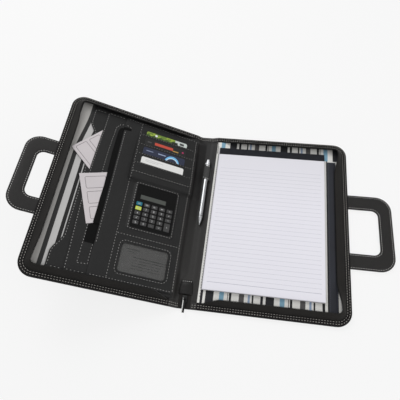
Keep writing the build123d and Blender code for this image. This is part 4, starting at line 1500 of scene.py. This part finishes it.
# %% [markdown]
# Behind the card window lies a grey identity card with blank form lines, under a clear film. The film is
# a thin sheet whose finish lets most light through and keeps a soft shine.

# %% Card window


def make_form_card():
    finish = Finish("window_card", specular_ior_level=0.3)
    u, v, _ = finish.axes("left")
    a, b = (CALC_U + WINDOW_HALF[0]) - u, (WINDOW_V + WINDOW_HALF[1]) - v
    row = abs((b % 5.0) - 2.5) < 0.62
    inside = (b > 20.0) * (b < 45.0) * (a > 24.0) * (a < 76.0)
    first_line = (abs(b - 9.6) < 0.8) * (a > 9.0) * (a < 33.0)
    heading = first_line + (abs(b - 14.0) < 0.6) * (a > 14.0) * (a < 24.0)
    field = (abs(b - 22.5) < 0.55) * (a > 24.0) + (abs(b - 26.6) < 0.4) * (a > 62.0)
    fleck = finish.noise(60.0, detail=4.0)
    broken = finish.noise(420.0, detail=1.0) > 0.47
    print_mask = row * broken * inside + field + heading * 0.8
    base = finish.mix(fleck, shade(70, 70, 69), shade(86, 86, 85))
    finish.feed(base_color=finish.mix(print_mask * 0.8, base, grey(30)), roughness=0.5 + 0.2 * fleck)
    finish.bump(fleck, strength=0.08, depth=0.0001)
    return finish.material


def make_film():
    finish = Finish("clear_film", specular_ior_level=0.4, alpha=0.04)
    haze = finish.noise(18.0, detail=3.0)
    finish.feed(base_color=finish.mix(haze, grey(70), grey(100)), roughness=0.12 + 0.16 * haze)
    finish.bump(haze, strength=0.05, depth=0.0004)
    return finish.material


def window_sheet(margin, low, high):
    loop = box_about((CALC_U, WINDOW_V), np.add(WINDOW_HALF, margin), 2.0)
    return cut_sheet([loop], low, high, on_left, edge=0.15, spacing=9.0)


card = window_sheet(margin=1.2, low=11.55, high=12.0)
add_piece("window_card", *card, make_form_card(), "front_cover", "card_white", ("id_window",))
sag = lambda u, v: 12.38 - 0.12 * np.cos((u - CALC_U) / 29.0) * np.cos((v - WINDOW_V) / 18.0)
film = window_sheet(margin=2.6, low=lambda u, v: sag(u, v) - 0.2, high=sag)
add_piece("window_film", *film, make_film(), "front_cover", "clear_film")
print("the film sags to", round(float(sag(CALC_U, WINDOW_V)), 2), "mm")

# %% [markdown]
# Four cards show above their slots. Their solids are right, thin plates with round corners, so they stay
# and only get printed finishes: plain fields, bars and a ring, with no words.

# %% Card printing
CARD_U = 73.0 + 42.8


def make_card(name, base, marks):
    """Plastic card with marks, given as (mask from a and v, colour)."""
    finish = Finish(name, specular_ior_level=0.3, coat_weight=0.08, coat_roughness=0.2)
    u, v, _ = finish.axes("left")
    grain = finish.noise(220.0, detail=4.0)
    colour = finish.mix(grain * 0.06, base, grey(128))
    for mark, ink in marks:
        colour = finish.mix(mark(CARD_U - u, v), colour, ink)
    finish.feed(base_color=colour, roughness=0.3 + 0.15 * grain)
    finish.bump(grain, strength=0.05, depth=0.0001)
    return finish.material


def bar(a0, a1, v0, v1):
    return lambda a, v: (a > a0) * (a < a1) * (v > v0) * (v < v1)


def disc(a0, v0, radius, hole=0.0):
    def mark(a, v):
        far = a.math("SQRT", (a - a0) * (a - a0) + (v - v0) * (v - v0))
        return (far < radius) * (far > hole)
    return mark


def hills(level, swing, period):
    return lambda a, v: v < level + swing * (a * (2 * math.pi / period)).sine()


def patches(a, _):
    return 0.8 * (a.finish.noise(150.0, detail=3.0) > 0.52)


print("marks are", [mark.__name__ for mark in (bar, disc, hills, patches)])

# %% [markdown]
# A card is a ground colour and a list of marks, laid over each other in that order. The solids take
# these finishes in place of their own.

# %% Cards
green_marks = [
    (patches, shade(84, 112, 48)),
    (hills(138.6, 1.6, 13.0), shade(66, 88, 40)),
    (bar(60, 86, 130, 150), shade(192, 200, 196)),
    (bar(54, 66, 134, 140), shade(40, 44, 36)),
    (disc(20.0, 140.5, 2.6), grey(226)),
    (bar(70, 79, 137, 142), grey(60)),
]
red_marks = [
    (bar(20, 58, 117.5, 123.5), shade(186, 74, 58)),
    (bar(58, 70, 116.4, 118.4), shade(186, 146, 72)),
    (disc(79.0, 120.5, 2.0), shade(168, 44, 92)),
    (bar(5, 13, 119, 122), grey(70)),
]
navy_marks = [
    (disc(60.0, 88.0, 15.0, 11.0), shade(110, 176, 220)),
    (disc(60.0, 86.0, 13.0, 11.5), shade(208, 228, 240)),
    (bar(30, 46, 98.6, 100.6), shade(150, 164, 190)),
    (bar(6, 20, 98.6, 100.2), shade(128, 140, 166)),
]
white_marks = [(bar(8, 44, 77.4, 77.9), grey(150)), (bar(8, 34, 74.6, 75.1), grey(150))]
card_finishes = {
    "card_1": make_card("card_green_print", shade(146, 168, 62), green_marks),
    "card_2": make_card("card_red_print", grey(24), red_marks),
    "card_3": make_card("card_navy_print", shade(36, 42, 64), navy_marks),
    "card_4": make_card("card_white_print", shade(222, 222, 220), white_marks),
}


def dress(node, finish):
    """Give a packed solid that stays in view its finish."""
    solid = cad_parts[node]
    if not solid.material_slots:
        solid.data.materials.append(finish)
    for slot in solid.material_slots:
        slot.material = finish


for node, finish in card_finishes.items():
    dress(node, finish)
print("cards", sorted(card_finishes))

# %% [markdown]
# The calculator's case and display board keep their solids: a moulded black shell and a flat board.
# Their finishes add the fine spark texture of moulded plastic, and the board's finish draws the grey
# liquid crystal strip with its darker rim.

# %% Calculator case and display


def make_plastic(name, dark, light, rough, shine=0.25):
    finish = Finish(name, specular_ior_level=shine)
    spark = finish.noise(2600.0, detail=3.0)
    smudge = finish.noise(40.0, detail=4.0)
    finish.feed(
        base_color=finish.mix(0.5 * spark + 0.5 * smudge, dark, light),
        roughness=rough + 0.2 * smudge,
    )
    finish.bump(spark, strength=0.18, depth=0.00008)
    return finish.material


def make_display():
    finish = Finish("display_glass", specular_ior_level=0.16)
    u, v, _ = finish.axes("left")
    out = u.math("MAXIMUM", abs(u - 76.0) - 24.6, abs(v - 0.7) - 4.4)
    glass = out < 0.0
    rim = (out > -0.5) * glass
    streak = finish.noise(55.0, detail=3.0)
    crystal = finish.mix(streak, shade(66, 69, 66), shade(86, 89, 85))
    crystal = finish.mix(rim * 0.6, crystal, grey(40))
    colour = finish.mix(glass, finish.mix(streak, grey(9), grey(17)), crystal)
    finish.feed(base_color=colour, roughness=0.42 + 0.2 * streak - 0.14 * glass)
    finish.bump(streak, strength=0.05, depth=0.0001)
    return finish.material


dress("calculator_case", make_plastic("calculator_plastic", grey(6), grey(15), rough=0.45, shine=0.13))
dress("calculator_display_board", make_display())
print("calculator shows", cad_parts["calculator_display_board"].material_slots[0].name)

# %% [markdown]
# Each key is a small moulded cap with a flange inside the case, straight sides, rounded shoulders and a
# dished top for the finger. Its outline is the same at every height, only smaller or larger, so the cap
# is a stack of rings joined into one skin. The signs are thin letters that stand a little proud, as
# printed ink does.

# %% Key caps and signs
KEY_RINGS = (
    (-0.45, 13.95), (-0.5, 14.05), (-0.5, 14.4), (-0.45, 14.48), (0.0, 14.52), (0.0, 16.2),
    (0.08, 16.48), (0.26, 16.7), (0.55, 16.8), (1.0, 16.79), (1.7, 16.72), (2.6, 16.67), (3.1, 16.66),
)
KEY_W, KEY_H = 11.0, 7.0


def key_cap(u, v, wide, tall):
    rings = []
    for inset, height in KEY_RINGS:
        half, radius = (wide / 2 - inset, tall / 2 - inset), max(1.2 - inset * 0.5, 0.35)
        loop = np.array(box_about((u, v), half, radius, step=WHOLE))
        rings.append(on_left(loop[:, 0], loop[:, 1], height))
    return skin(rings)


def lettering(text, size):
    """Flat letters as points and faces, middle at the origin, in millimetres."""
    curve = bpy.data.curves.new("letters", "FONT")
    curve.body, curve.size = text, size
    curve.align_x, curve.align_y = "CENTER", "CENTER"
    curve.extrude, curve.offset, curve.resolution_u = 0.09, 0.04, 4
    holder = bpy.data.objects.new("letters", curve)
    bpy.context.scene.collection.objects.link(holder)
    shown = holder.evaluated_get(bpy.context.evaluated_depsgraph_get())
    shape = bpy.data.meshes.new_from_object(shown)
    points = np.array([p.co for p in shape.vertices])
    faces = [list(face.vertices) for face in shape.polygons]
    bpy.data.objects.remove(holder)
    bpy.data.curves.remove(curve)
    bpy.data.meshes.remove(shape)
    points[:, :2] -= (points[:, :2].min(0) + points[:, :2].max(0)) / 2
    return points, faces


print("a key cap has", len(key_cap(0.0, 0.0, KEY_W, KEY_H)[1]), "faces")

# %% [markdown]
# The keys stand in five rows on an even grid, and the plus key is two rows tall. One key is teal, one is
# lime and the others are grey. Each rides on a body of its own with its sign, so it can be pressed.

# %% Keys
KEY_PITCH = (14.6, 9.3)
KEY_LOW_V, SIGN_H = -51.0, 16.76
KEY_ROWS = (
    (
        ("all_clear", "AC"), ("memory_recall", "MR"), ("memory_minus", "M-"), ("memory_plus", "M+"),
        ("divide", "÷"),
    ),
    (("clear", "C"), ("7", "7"), ("8", "8"), ("9", "9"), ("times", "×")),
    (("sign", "±"), ("4", "4"), ("5", "5"), ("6", "6"), ("minus", "−")),
    (("root", "√"), ("1", "1"), ("2", "2"), ("3", "3"), ("plus", "+")),
    (("percent", "%"), ("0", "0"), ("point", "."), ("equals", "=")),
)
key_finishes = {
    "key_grey": make_plastic("key_grey", grey(50), grey(72), rough=0.45),
    "key_teal": make_plastic("key_teal", shade(26, 92, 112), shade(44, 122, 142), rough=0.4),
    "key_lime": make_plastic("key_lime", shade(176, 192, 74), shade(206, 218, 104), rough=0.4),
}
legend_ink = make_plastic("legend_ink", grey(160), grey(196), rough=0.5)
for row, keys in enumerate(KEY_ROWS):
    for col, (name, sign) in enumerate(keys):
        u, v = CALC_U - (col - 2) * KEY_PITCH[0], KEY_LOW_V + (4 - row) * KEY_PITCH[1]
        tall, body = KEY_H, f"key_{name}"
        if name == "plus":
            v, tall = v - KEY_PITCH[1] / 2, KEY_H + KEY_PITCH[1]
        slot = {"all_clear": "key_teal", "clear": "key_lime"}.get(name, "key_grey")
        cap = key_cap(u, v, KEY_W, tall)
        add_piece(f"cap_{name}", *cap, key_finishes[slot], body, slot, (body,), sharp=55)
        letters, faces = lettering(sign, 4.0 if len(sign) > 1 else 5.2)
        spots = on_left(u - letters[:, 0], v + letters[:, 1], SIGN_H + letters[:, 2])
        add_piece(f"sign_{name}", spots, faces, legend_ink, body)
print("keys", sum(len(keys) for keys in KEY_ROWS))

# %% [markdown]
# The writing pad is a block of ruled sheets on a stiff card, taped at its head. A plain box would look
# like foam, so the block's sides are many thin layers that stand in and out a little and fan out towards
# the spine, and the top sheet is a page of its own with a slight wave. The paper is painted a little
# greyer towards its head, and the block's sides greyer in fine bands between the sheets; both are painted
# shade. The rules are drawn in the finish and stop before the margins.

# %% Pad of ruled paper
PAD = (12.5, 222.5, -146.0, 151.0)
PAD_LAYERS, PAD_LOW_H, PAD_BLOCK_H, PAD_FAN = 27, 8.5, 5.1, 1.7
RULE_PITCH, RULE_TOP, RULE_LOW, RULE_LAST = 8.4, 103.4, -123.4, -131.8


def make_pad_paper():
    finish = Finish("pad_paper", specular_ior_level=0.2)
    u, v, h = finish.axes("right")
    fibre = finish.noise(800.0, detail=6.0)
    cloud = finish.noise(9.0, detail=3.0)
    sheet = finish.mix(fibre * 0.3 + cloud * 0.3, shade(230, 229, 236), shade(218, 217, 226))
    # painted shade: the paper greys towards the head
    sheet = finish.mix((v > 20.0) * (v - 20.0) * 0.0038, sheet, shade(206, 205, 210))
    on_top = h > 13.6
    rule = (abs(((v - RULE_TOP) % RULE_PITCH) - RULE_PITCH / 2) > RULE_PITCH / 2 - 0.22)
    rule = rule * (v < RULE_TOP + 1.0) * (v > RULE_LOW - 1.0)
    last = abs(v - RULE_LAST) < 0.35
    ink = (rule * 0.5 + last * 0.7) * on_top * (u > 19.0) * (u < 216.0)
    # painted shade between the sheets: the block's sides are greyed in fine bands
    layers = (h * 26.0).sine()
    seen = finish.mix((1.0 - on_top) * (0.2 + 0.2 * layers), sheet, grey(150))
    finish.feed(base_color=finish.mix(ink, seen, shade(128, 130, 146)), roughness=0.7 + 0.16 * fibre)
    finish.bump(fibre + cloud, strength=0.08, depth=0.0001)
    return finish.material


def page_top(u, v):
    wave = 0.14 * np.sin(u / 46.0) * np.sin(v / 61.0)
    return 13.86 + wave + 0.5 * ease((-118.0 - v) / 30.0)


draw = random.Random(11)
rings = []
for k in range(PAD_LAYERS):
    inset = draw.uniform(0.0, 0.22) if k % 2 else 0.3
    share = k / (PAD_LAYERS - 1)
    near = PAD[0] + inset - PAD_FAN * (1 - share)
    loop = rounded_box(near, PAD[1] - inset, PAD[2] + inset, PAD[3] - 0.3, 0.4, step=WHOLE)
    u, v = np.array(loop).T
    rings.append(on_right(u, v, PAD_LOW_H + PAD_BLOCK_H * share))
page_loop = rounded_box(PAD[0] + 0.15, PAD[1] - 0.1, PAD[2] + 0.1, PAD[3] - 0.5, 0.4, step=6.0)
page_low = lambda u, v: page_top(u, v) - 0.16
page = cut_sheet([page_loop], page_low, page_top, on_right, edge=0.1, spacing=9.0)
block = together(skin(rings), page)
add_piece("pad_pages", *block, make_pad_paper(), "back_cover", "pad_paper", ("pad_sheets",))
print("pad with", round((RULE_TOP - RULE_LOW) / RULE_PITCH) + 1, "fine rules and one stronger one")

# %% [markdown]
# Behind the sheets lies grey board, and over their head goes a strip of black book-binding cloth that is
# folded down the front. Its section is one bent band, carried across the pad's width.

# %% Pad backing and binding


def make_board():
    finish = Finish("grey_board", specular_ior_level=0.15)
    pulp = finish.noise(500.0, detail=6.0)
    stain = finish.noise(20.0, detail=3.0)
    finish.feed(
        base_color=finish.mix(0.6 * pulp + 0.4 * stain, shade(128, 124, 116), shade(168, 163, 153)),
        roughness=0.78 + 0.15 * pulp,
    )
    finish.bump(pulp, strength=0.2, depth=0.00012)
    return finish.material


dress("pad_backing_card", make_board())
binding_cloth = make_cloth("binding_cloth", shade(24, 25, 29), shade(46, 47, 52))
BINDING = [
    (136.0, 13.95), (136.3, 14.3), (137.0, 14.38), (149.8, 14.4), (150.9, 14.3), (151.35, 13.8),
    (151.4, 8.6), (151.05, 8.55), (151.0, 13.6), (150.6, 13.95),
]
BINDING_ENDS = (12.35, 222.65)
v, h = np.array(BINDING).T
rings = []
for u in (BINDING_ENDS[0], 12.5, 13.2, *np.linspace(20, 215, 30), 221.8, 222.5, BINDING_ENDS[1]):
    squeeze = 0.12 if u in BINDING_ENDS else 0.0
    wave = 0.05 * np.sin(u / 7.0)
    rings.append(on_right(np.full(len(v), u), v, h - squeeze * (h > 14.0) + wave * (h > 14.2)))
add_piece(
    "pad_binding_cloth", *skin(rings), binding_cloth, "back_cover", "pad_binding", ("pad_binding",),
    sharp=60,
)
print("binding of", len(rings), "sections")

# %% [markdown]
# Beside the pad a dark satin strip trims the edge of the pocket that holds the pad's board. It is a flat
# band with folded edges, sewn along both sides, and its head shows the pale selvedge of the cloth.
# Beyond it the lining's pale stripe shows where the zip tape has not fallen over it.

# %% Trim strip


def make_satin():
    finish = Finish("trim_satin", specular_ior_level=0.35, sheen_weight=0.1)
    u, v, _ = finish.axes("right")
    ribs, cross = (v * 5.0).sine(), (u * 11.0).sine()
    wear = finish.noise(30.0, detail=4.0)
    head = v > 137.4
    base = finish.mix(wear * 0.8 + 0.1 * ribs, shade(15, 17, 25), shade(36, 39, 50))
    finish.feed(base_color=finish.mix(head, base, shade(206, 206, 204)), roughness=0.46 + 0.2 * wear)
    finish.bump(ribs + 0.5 * cross, strength=0.25, depth=0.00012)
    return finish.material


TRIM_SEAM_H = 8.7
trim_loop = split_long([(229.0, -165.0), (244.8, -165.0), (244.8, 140.0), (229.0, 140.0)], 5.0)
trim_top = lambda u, v: 8.72 + 0.08 * np.sin(v / 19.0)
trim = cut_sheet([trim_loop], 7.62, trim_top, on_right, edge=0.7, spacing=4.0)
add_piece("pocket_trim", *trim, make_satin(), "back_cover", "pad_binding", ("pad_pocket_trim",))
rows = [
    seam_at(TRIM_SEAM_H, (231.0, -163.0), (231.0, 134.5)),
    seam_at(TRIM_SEAM_H, (231.0, 135.2), (243.0, 135.2)),
    seam_at(TRIM_SEAM_H, (243.0, -163.0), (243.0, 134.5)),
]
trim_thread = make_thread("trim_thread", shade(92, 95, 106), shade(64, 67, 78))
trim_seams = sew(rows, on_right, pitch=3.6, length=2.5, width=0.3)
add_piece("trim_stitching", *trim_seams, trim_thread, "back_cover", "pad_binding")
print("trim with", len(rows), "seams")

# %% [markdown]
# The pen is satin metal, brushed along its length, with two dark grooves. Its clip and button are
# brighter. Noise that is stretched along the pen gives the brushing.

# %% Pen metal


def make_metal(name, dark, light, rough, bands=()):
    """Brushed metal with optional dark bands, given as (from y, to y) in millimetres."""
    finish = Finish(name, metallic=1.0)
    _, y, _ = finish.axes("spine")
    drawn_out = {0: finish.place(), 1: (900.0, 60.0, 900.0)}
    along = finish.node("ShaderNodeVectorMath", {"operation": "MULTIPLY"}, drawn_out)
    brush = finish.noise(1.0, detail=2.0, where=along)
    haze = finish.noise(90.0, detail=4.0)
    colour = finish.mix(0.6 * brush + 0.4 * haze, dark, light)
    for begin, end in bands:
        colour = finish.mix((y > begin) * (y < end) * 0.8, colour, grey(46))
    finish.feed(base_color=colour, roughness=rough + 0.14 * haze)
    finish.bump(brush, strength=0.1, depth=0.00005)
    return finish.material


pen_metal = make_metal(
    "pen_metal", shade(160, 161, 163), shade(204, 205, 207), rough=0.3, bands=((-6.2, -4.9), (-1.6, -1.1))
)
pen_bright = make_metal("pen_bright", shade(200, 201, 204), shade(236, 236, 238), rough=0.36)
print("pen finishes", pen_metal.name, pen_bright.name)

# %% [markdown]
# The ball pen is turned metal: a tapered nose with a small step at the point, a ring above the nose, a
# plain barrel and a collar. A turned shape is a profile carried round an axis, so the profile alone
# tells the shape.

# %% Pen barrel and button
PEN_X, PEN_Z = 7.0, 9.45


def turned(profile, sides=40):
    """Rings round the pen's axis from (y, radius) pairs."""
    rings = []
    for y, radius in profile:
        x, z = np.array(circle((PEN_X, PEN_Z), radius, sides)).T
        rings.append(on_spine(x, y, z))
    return skin(rings)


NOSE = [
    (-24.0, 0.25), (-23.95, 0.5), (-23.6, 0.62), (-21.6, 0.75), (-21.4, 1.15), (-20.9, 1.35),
    (-16.0, 2.75), (-11.0, 3.86), (-8.6, 4.3), (-7.6, 4.4), (-6.4, 4.4), (-6.2, 4.22), (-4.9, 4.22),
    (-4.7, 4.4), (-1.7, 4.4), (-1.6, 4.3), (-1.1, 4.3), (-1.0, 4.4),
]
SHANK = [
    (20.0, 4.4), (60.0, 4.4), (100.0, 4.4), (106.8, 4.38), (107.6, 4.3), (108.0, 4.0), (108.0, 3.6),
    (112.0, 3.6), (112.0, 2.5), (100.5, 2.5),
]
add_piece("pen_body", *turned(NOSE + SHANK), pen_metal, "pen", "pen_metal", ("pen_barrel",), sharp=35)
PUSH = [
    (107.2, 2.2), (107.2, 2.4), (116.6, 2.4), (116.7, 3.0), (116.9, 3.25), (118.0, 3.3), (118.2, 3.16),
    (118.6, 3.16), (118.8, 3.3), (120.6, 3.2), (121.5, 2.7), (121.95, 1.6), (122.0, 0.5),
]
push = turned(PUSH, sides=28)
add_piece("pen_push", *push, pen_bright, "pen_button", "pen_bright", ("pen_button",), sharp=35)
print("the pen is", PUSH[-1][0] - NOSE[0][0], "mm long")

# %% [markdown]
# The clip is sheet metal: a collar round the neck of the pen, a bridge and a long arm with a soft bend
# and a small foot that presses on the loop. The arm is a stack of rounded rings along the pen, so its
# ends and its bend come from moving the rings.

# %% Pen clip
CLIP_TURN = math.radians(135.0)
CLIP_ARM = [
    (76.0, 6.32, 0.3, 1.5), (76.2, 6.2, 0.62, 2.2), (77.2, 5.98, 0.9, 2.7), (78.6, 5.95, 0.9, 2.8),
    (80.4, 6.12, 0.9, 2.8), (90.0, 6.1, 0.9, 2.8), (106.0, 6.1, 0.9, 2.8), (110.5, 6.08, 0.92, 2.8),
    (111.6, 6.1, 0.8, 2.7), (112.0, 6.2, 0.5, 2.3),
]


def clip_point(out, aside, y):
    c, s = math.cos(CLIP_TURN), math.sin(CLIP_TURN)
    return on_spine(PEN_X + out * c - aside * s, y, PEN_Z + out * s + aside * c)


def clip_ring(y, near, thick, wide):
    radius = min(0.36, thick * 0.4)
    loop = np.array(rounded_box(near, near + thick, -wide / 2, wide / 2, radius, step=WHOLE))
    return clip_point(loop[:, 0], loop[:, 1], y)


arm = skin([clip_ring(*station) for station in CLIP_ARM])
BRIDGE = ((108.3, 2.3), (108.5, 2.6), (111.5, 2.6), (111.7, 2.3))
bridge = skin([clip_ring(y, 4.2, 2.2, wide) for y, wide in BRIDGE])
COLLAR = [
    (108.05, 3.65), (108.05, 4.25), (108.25, 4.42), (112.2, 4.42), (112.4, 4.3), (112.7, 4.3),
    (112.9, 4.42), (115.9, 4.4), (116.3, 4.2), (116.4, 3.9), (116.4, 3.6), (112.1, 3.6), (112.1, 3.65),
]
clip = together(arm, bridge, turned(COLLAR))
add_piece("pen_clip_spring", *clip, pen_bright, "pen", "pen_bright", ("pen_clip",), sharp=50)
print("the clip's arm is", CLIP_ARM[-1][0] - CLIP_ARM[0][0], "mm long")

# %% [markdown]
# A loop of ribbed elastic holds the pen to the spine. Elastic has fine ridges along its length, so the
# loop's section, a ring with a flat foot, is repeated along the pen with a radius that rises and falls.

# %% Pen loop


def make_elastic():
    finish = Finish("elastic", specular_ior_level=0.2, sheen_weight=0.12)
    x, y, z = finish.axes("spine")
    ribs, knit = (y * 6.0).sine(), ((x + z) * 9.0).sine()
    lint = finish.noise(120.0, detail=4.0)
    finish.feed(
        base_color=finish.mix(0.5 * lint + 0.12 * ribs, grey(50), grey(88)),
        roughness=0.72 + 0.2 * lint,
    )
    finish.bump(ribs + 0.5 * knit, strength=0.3, depth=0.00015)
    return finish.material


LOOP_Y0, LOOP_Y1 = 75.0, 105.0
ridges = np.linspace(LOOP_Y0 + 0.4, LOOP_Y1 - 0.4, 61)
section = [(LOOP_Y0, 4.5), (LOOP_Y0, 5.2)]
section += [(y, 5.42 + 0.07 * math.cos(k * math.pi / 2)) for k, y in enumerate(ridges)]
section += [(LOOP_Y1, 5.2), (LOOP_Y1, 4.5), (98.0, 4.46), (82.0, 4.46)]
along, radius = np.array(section).T
rings = []
for a in np.linspace(0, 2 * math.pi, 56, endpoint=False):
    rings.append(np.stack([PEN_X + radius * math.cos(a), along, PEN_Z + radius * math.sin(a)], 1))
foot_loop = rounded_box(PEN_X - 6.6, PEN_X + 8.6, LOOP_Y0 + 0.6, LOOP_Y1 - 0.6, 0.6, step=2.0)
foot_top = lambda x, y: spine_top("right", x - FOLD_X, y) + 0.5
foot = cut_sheet([foot_loop], 3.9, foot_top, on_spine, edge=0.4, spacing=2.0)
band = together(skin(rings, joined=True), foot)
add_piece("pen_loop_band", *band, make_elastic(), "spine", "elastic", ("pen_loop",), sharp=60)
arch, arch_r = np.radians(np.linspace(15.0, 116.0, 24)), 5.52
loop_rows = [
    on_spine(PEN_X + arch_r * np.cos(arch), y, PEN_Z + arch_r * np.sin(arch))
    for y in (LOOP_Y0 + 0.8, LOOP_Y1 - 0.8)
]
loop_seams = sew(loop_rows, on_spine, pitch=1.5, length=1.5, width=0.5)
add_piece("loop_stitching", *loop_seams, thread, "spine", "elastic")
print("the pen loop is", LOOP_Y1 - LOOP_Y0, "mm wide")

# %% [markdown]
# At the foot of the spine the two zip tapes come together: a short tail of tape with the closed chain on
# it, a leather tab that is sewn over its head, the slider and its pull. The tab is arched over the
# chain, so its height falls towards both sides.

# %% Zip tail and tab
TAIL = (-11.0, 11.0, -180.2, -138.2)
CHAIN_H = 5.75
tape = cut_sheet([rounded_box(*TAIL, 0.6, step=3.0)], 3.95, 5.0, on_spine, edge=0.4, spacing=4.0)
add_piece("zip_tail_tape", *tape, tape_finish, "spine", "zip_tape", ("zip_tail",))
chain = []
for x, slip in ((-0.95, 0.0), (0.95, 0.8)):
    row = seam_at(CHAIN_H, (x, TAIL[2] + 0.6 + slip), (x, -139.0))
    chain.append(beads(row, on_spine, pitch=1.6, wide=2.1, long=1.2, high=1.6))
add_piece("zip_tail_chain", *together(*chain), coil_finish, "spine", "zip_tape", sharp=60)
TAB_FOOT_Y, TAB_HEAD_Y = -157.0, -131.0


def tab_top(x, y):
    arch = 8.1 - 1.9 * np.clip(np.abs(x) / 11.5, 0, 1) ** 2.4
    pucker = 0.25 * np.sin(y / 3.5) * ease((np.abs(x) - 5) / 6)
    return arch - 2.6 * ease((y - TAB_HEAD_Y + 8.0) / 8.0) + pucker


def tab_low(x, y):
    return np.where(y > -138.0, 3.95, tab_top(x, y) - 1.15)


tab_loop = [
    (-12.0, TAB_FOOT_Y + 0.8), (-11.2, TAB_FOOT_Y), (11.2, TAB_FOOT_Y), (12.0, TAB_FOOT_Y + 0.8),
    (10.5, TAB_HEAD_Y - 1), (9.5, TAB_HEAD_Y), (-9.5, TAB_HEAD_Y), (-10.5, TAB_HEAD_Y - 1),
]
tab = cut_sheet([split_long(tab_loop, 2.0)], tab_low, tab_top, on_spine, edge=0.55, spacing=2.2)
add_piece("zip_tab_leather", *tab, shaded_tab_leather, "spine", "black_leather", ("zip_end_tab",), sharp=55)
path = np.array(line((-9.0, -133.4), (9.0, -133.4), step=1.5))
tab_row = np.column_stack([path, tab_top(path[:, 0], path[:, 1]) - 0.05])
tab_seam = sew([tab_row], on_spine, pitch=3.4, length=2.5, width=0.5)
add_piece("zip_tab_stitching", *tab_seam, thread, "spine", "black_leather")
print("the tab stands", round(float(tab_top(0.0, TAB_FOOT_Y)), 1), "mm high at its foot")

# %% [markdown]
# The slider is a small metal casting: a roof on two legs that ride on the chain, and a lug that holds the
# pull's pin. It is built from cut sheets with rounded edges, which is close to how the real one is
# tumbled.

# %% Zip slider
SLIDER_Y = (-171.0, -159.0)
PIVOT = (-165.0, 10.05)


def on_edge(y, z, x):
    """A sheet that stands upright along the zip."""
    y, z, x = np.broadcast_arrays(y, z, x)
    return np.stack([x, y, z], -1)


slider_lacquer = make_plastic("slider_lacquer", grey(12), grey(30), rough=0.3)
dome = lambda x, y: 8.25 - 0.35 * (np.abs(x) / 4.5) ** 2 - 0.25 * (np.abs(y - PIVOT[0]) / 6.0) ** 3
roof_loop = rounded_box(-4.5, 4.5, *SLIDER_Y, 2.2, step=1.5)
roof = cut_sheet([roof_loop], 6.75, dome, on_spine, edge=0.5, spacing=1.6)
legs = []
for side in (-1, 1):
    leg_loop = rounded_box(*sorted((side * 2.2, side * 4.45)), *SLIDER_Y, 0.9, step=1.5)
    legs.append(cut_sheet([leg_loop], 5.15, 7.0, on_spine, edge=0.3, spacing=2.0))
lug_turns = np.radians(np.linspace(10, 170, 11))
lug_head = [(PIVOT[0] + 2.0 * math.cos(a), 10.0 + 1.8 * math.sin(a)) for a in lug_turns]
lug_loop = [(-167.0, 7.9), (-163.0, 7.9), (-163.0, 10.4), *lug_head, (-167.0, 10.4)]
lug_loops = [split_long(lug_loop, 1.0), circle(PIVOT, 0.85)]
lug = cut_sheet(lug_loops, -1.5, 1.5, on_edge, edge=0.3, spacing=1.2)
slider = together(roof, *legs, lug)
add_piece(
    "zip_slider_body", *slider, slider_lacquer, "zip_slider", "zip_metal", ("zip_slider",), sharp=55
)
print("the slider is", SLIDER_Y[1] - SLIDER_Y[0], "mm long")

# %% [markdown]
# The pull is stamped from strip, with a slot near its end that is filled with black enamel, and hangs on
# a pin in the slider's lug. It is a cut sheet with a hole, a smaller sheet in the hole and a turned pin.

# %% Zip pull


def make_pull():
    """Black lacquer with bright metal along one edge, a painted highlight."""
    finish = Finish("pull_lacquer", specular_ior_level=0.15)
    x, _, _ = finish.axes("spine")
    scuff = finish.noise(150.0, detail=4.0)
    # painted highlight: the left edge is bright metal, lighter than the lacquer
    painted_glint_edge = x + 0.3 * scuff < -0.75
    lacquer = finish.mix(scuff, grey(13), grey(32))
    finish.feed(
        base_color=finish.mix(painted_glint_edge, lacquer, shade(220, 220, 218)),
        metallic=painted_glint_edge * 0.6,
        roughness=0.42 + 0.16 * scuff,
    )
    finish.bump(scuff, strength=0.1, depth=0.00005)
    return finish.material


pull_loop = [
    (-2.3, -189.4), (2.3, -189.4), (2.5, -189.0), (2.5, -163.9), (2.3, -163.6), (1.95, -163.6),
    (1.75, -163.9), (1.75, -168.2), (1.55, -168.4), (-1.55, -168.4), (-1.75, -168.2), (-1.75, -163.9),
    (-1.95, -163.6), (-2.3, -163.6), (-2.5, -163.9), (-2.5, -189.0),
]
slot_loop = rounded_box(-1.1, 1.1, -188.0, -179.0, 1.05, step=1.0)
tag = cut_sheet([split_long(pull_loop, 1.0), slot_loop], 9.35, 10.75, on_spine, edge=0.34, spacing=1.2)
enamel_loop = rounded_box(-1.16, 1.16, -188.06, -178.94, 1.1, step=1.0)
enamel = cut_sheet([enamel_loop], 9.7, 10.4, on_spine, edge=0.1, spacing=1.2)
PIN = ((-2.45, 0.4), (-2.3, 0.62), (-1.7, 0.7), (1.7, 0.7), (2.3, 0.62), (2.45, 0.4))
pin = skin([on_edge(*np.array(circle(PIVOT, radius, 16)).T, x) for x, radius in PIN])
pull = together(tag, enamel, pin)
add_piece("zip_pull_tag", *pull, make_pull(), "zip_pull", "zip_metal", ("zip_pull",), sharp=50)
print("the pull's pin is", PIN[-1][0] - PIN[0][0], "mm long")

# %% [markdown]
# The last cell prints the box of the solids and the box of the dressed model side by side, so that a
# piece that sticks out shows up at once.

# %% Sizes
size = {"cad": [list(corner) for corner in cad_box], "scene": [list(corner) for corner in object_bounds()]}
print("sizes", size)
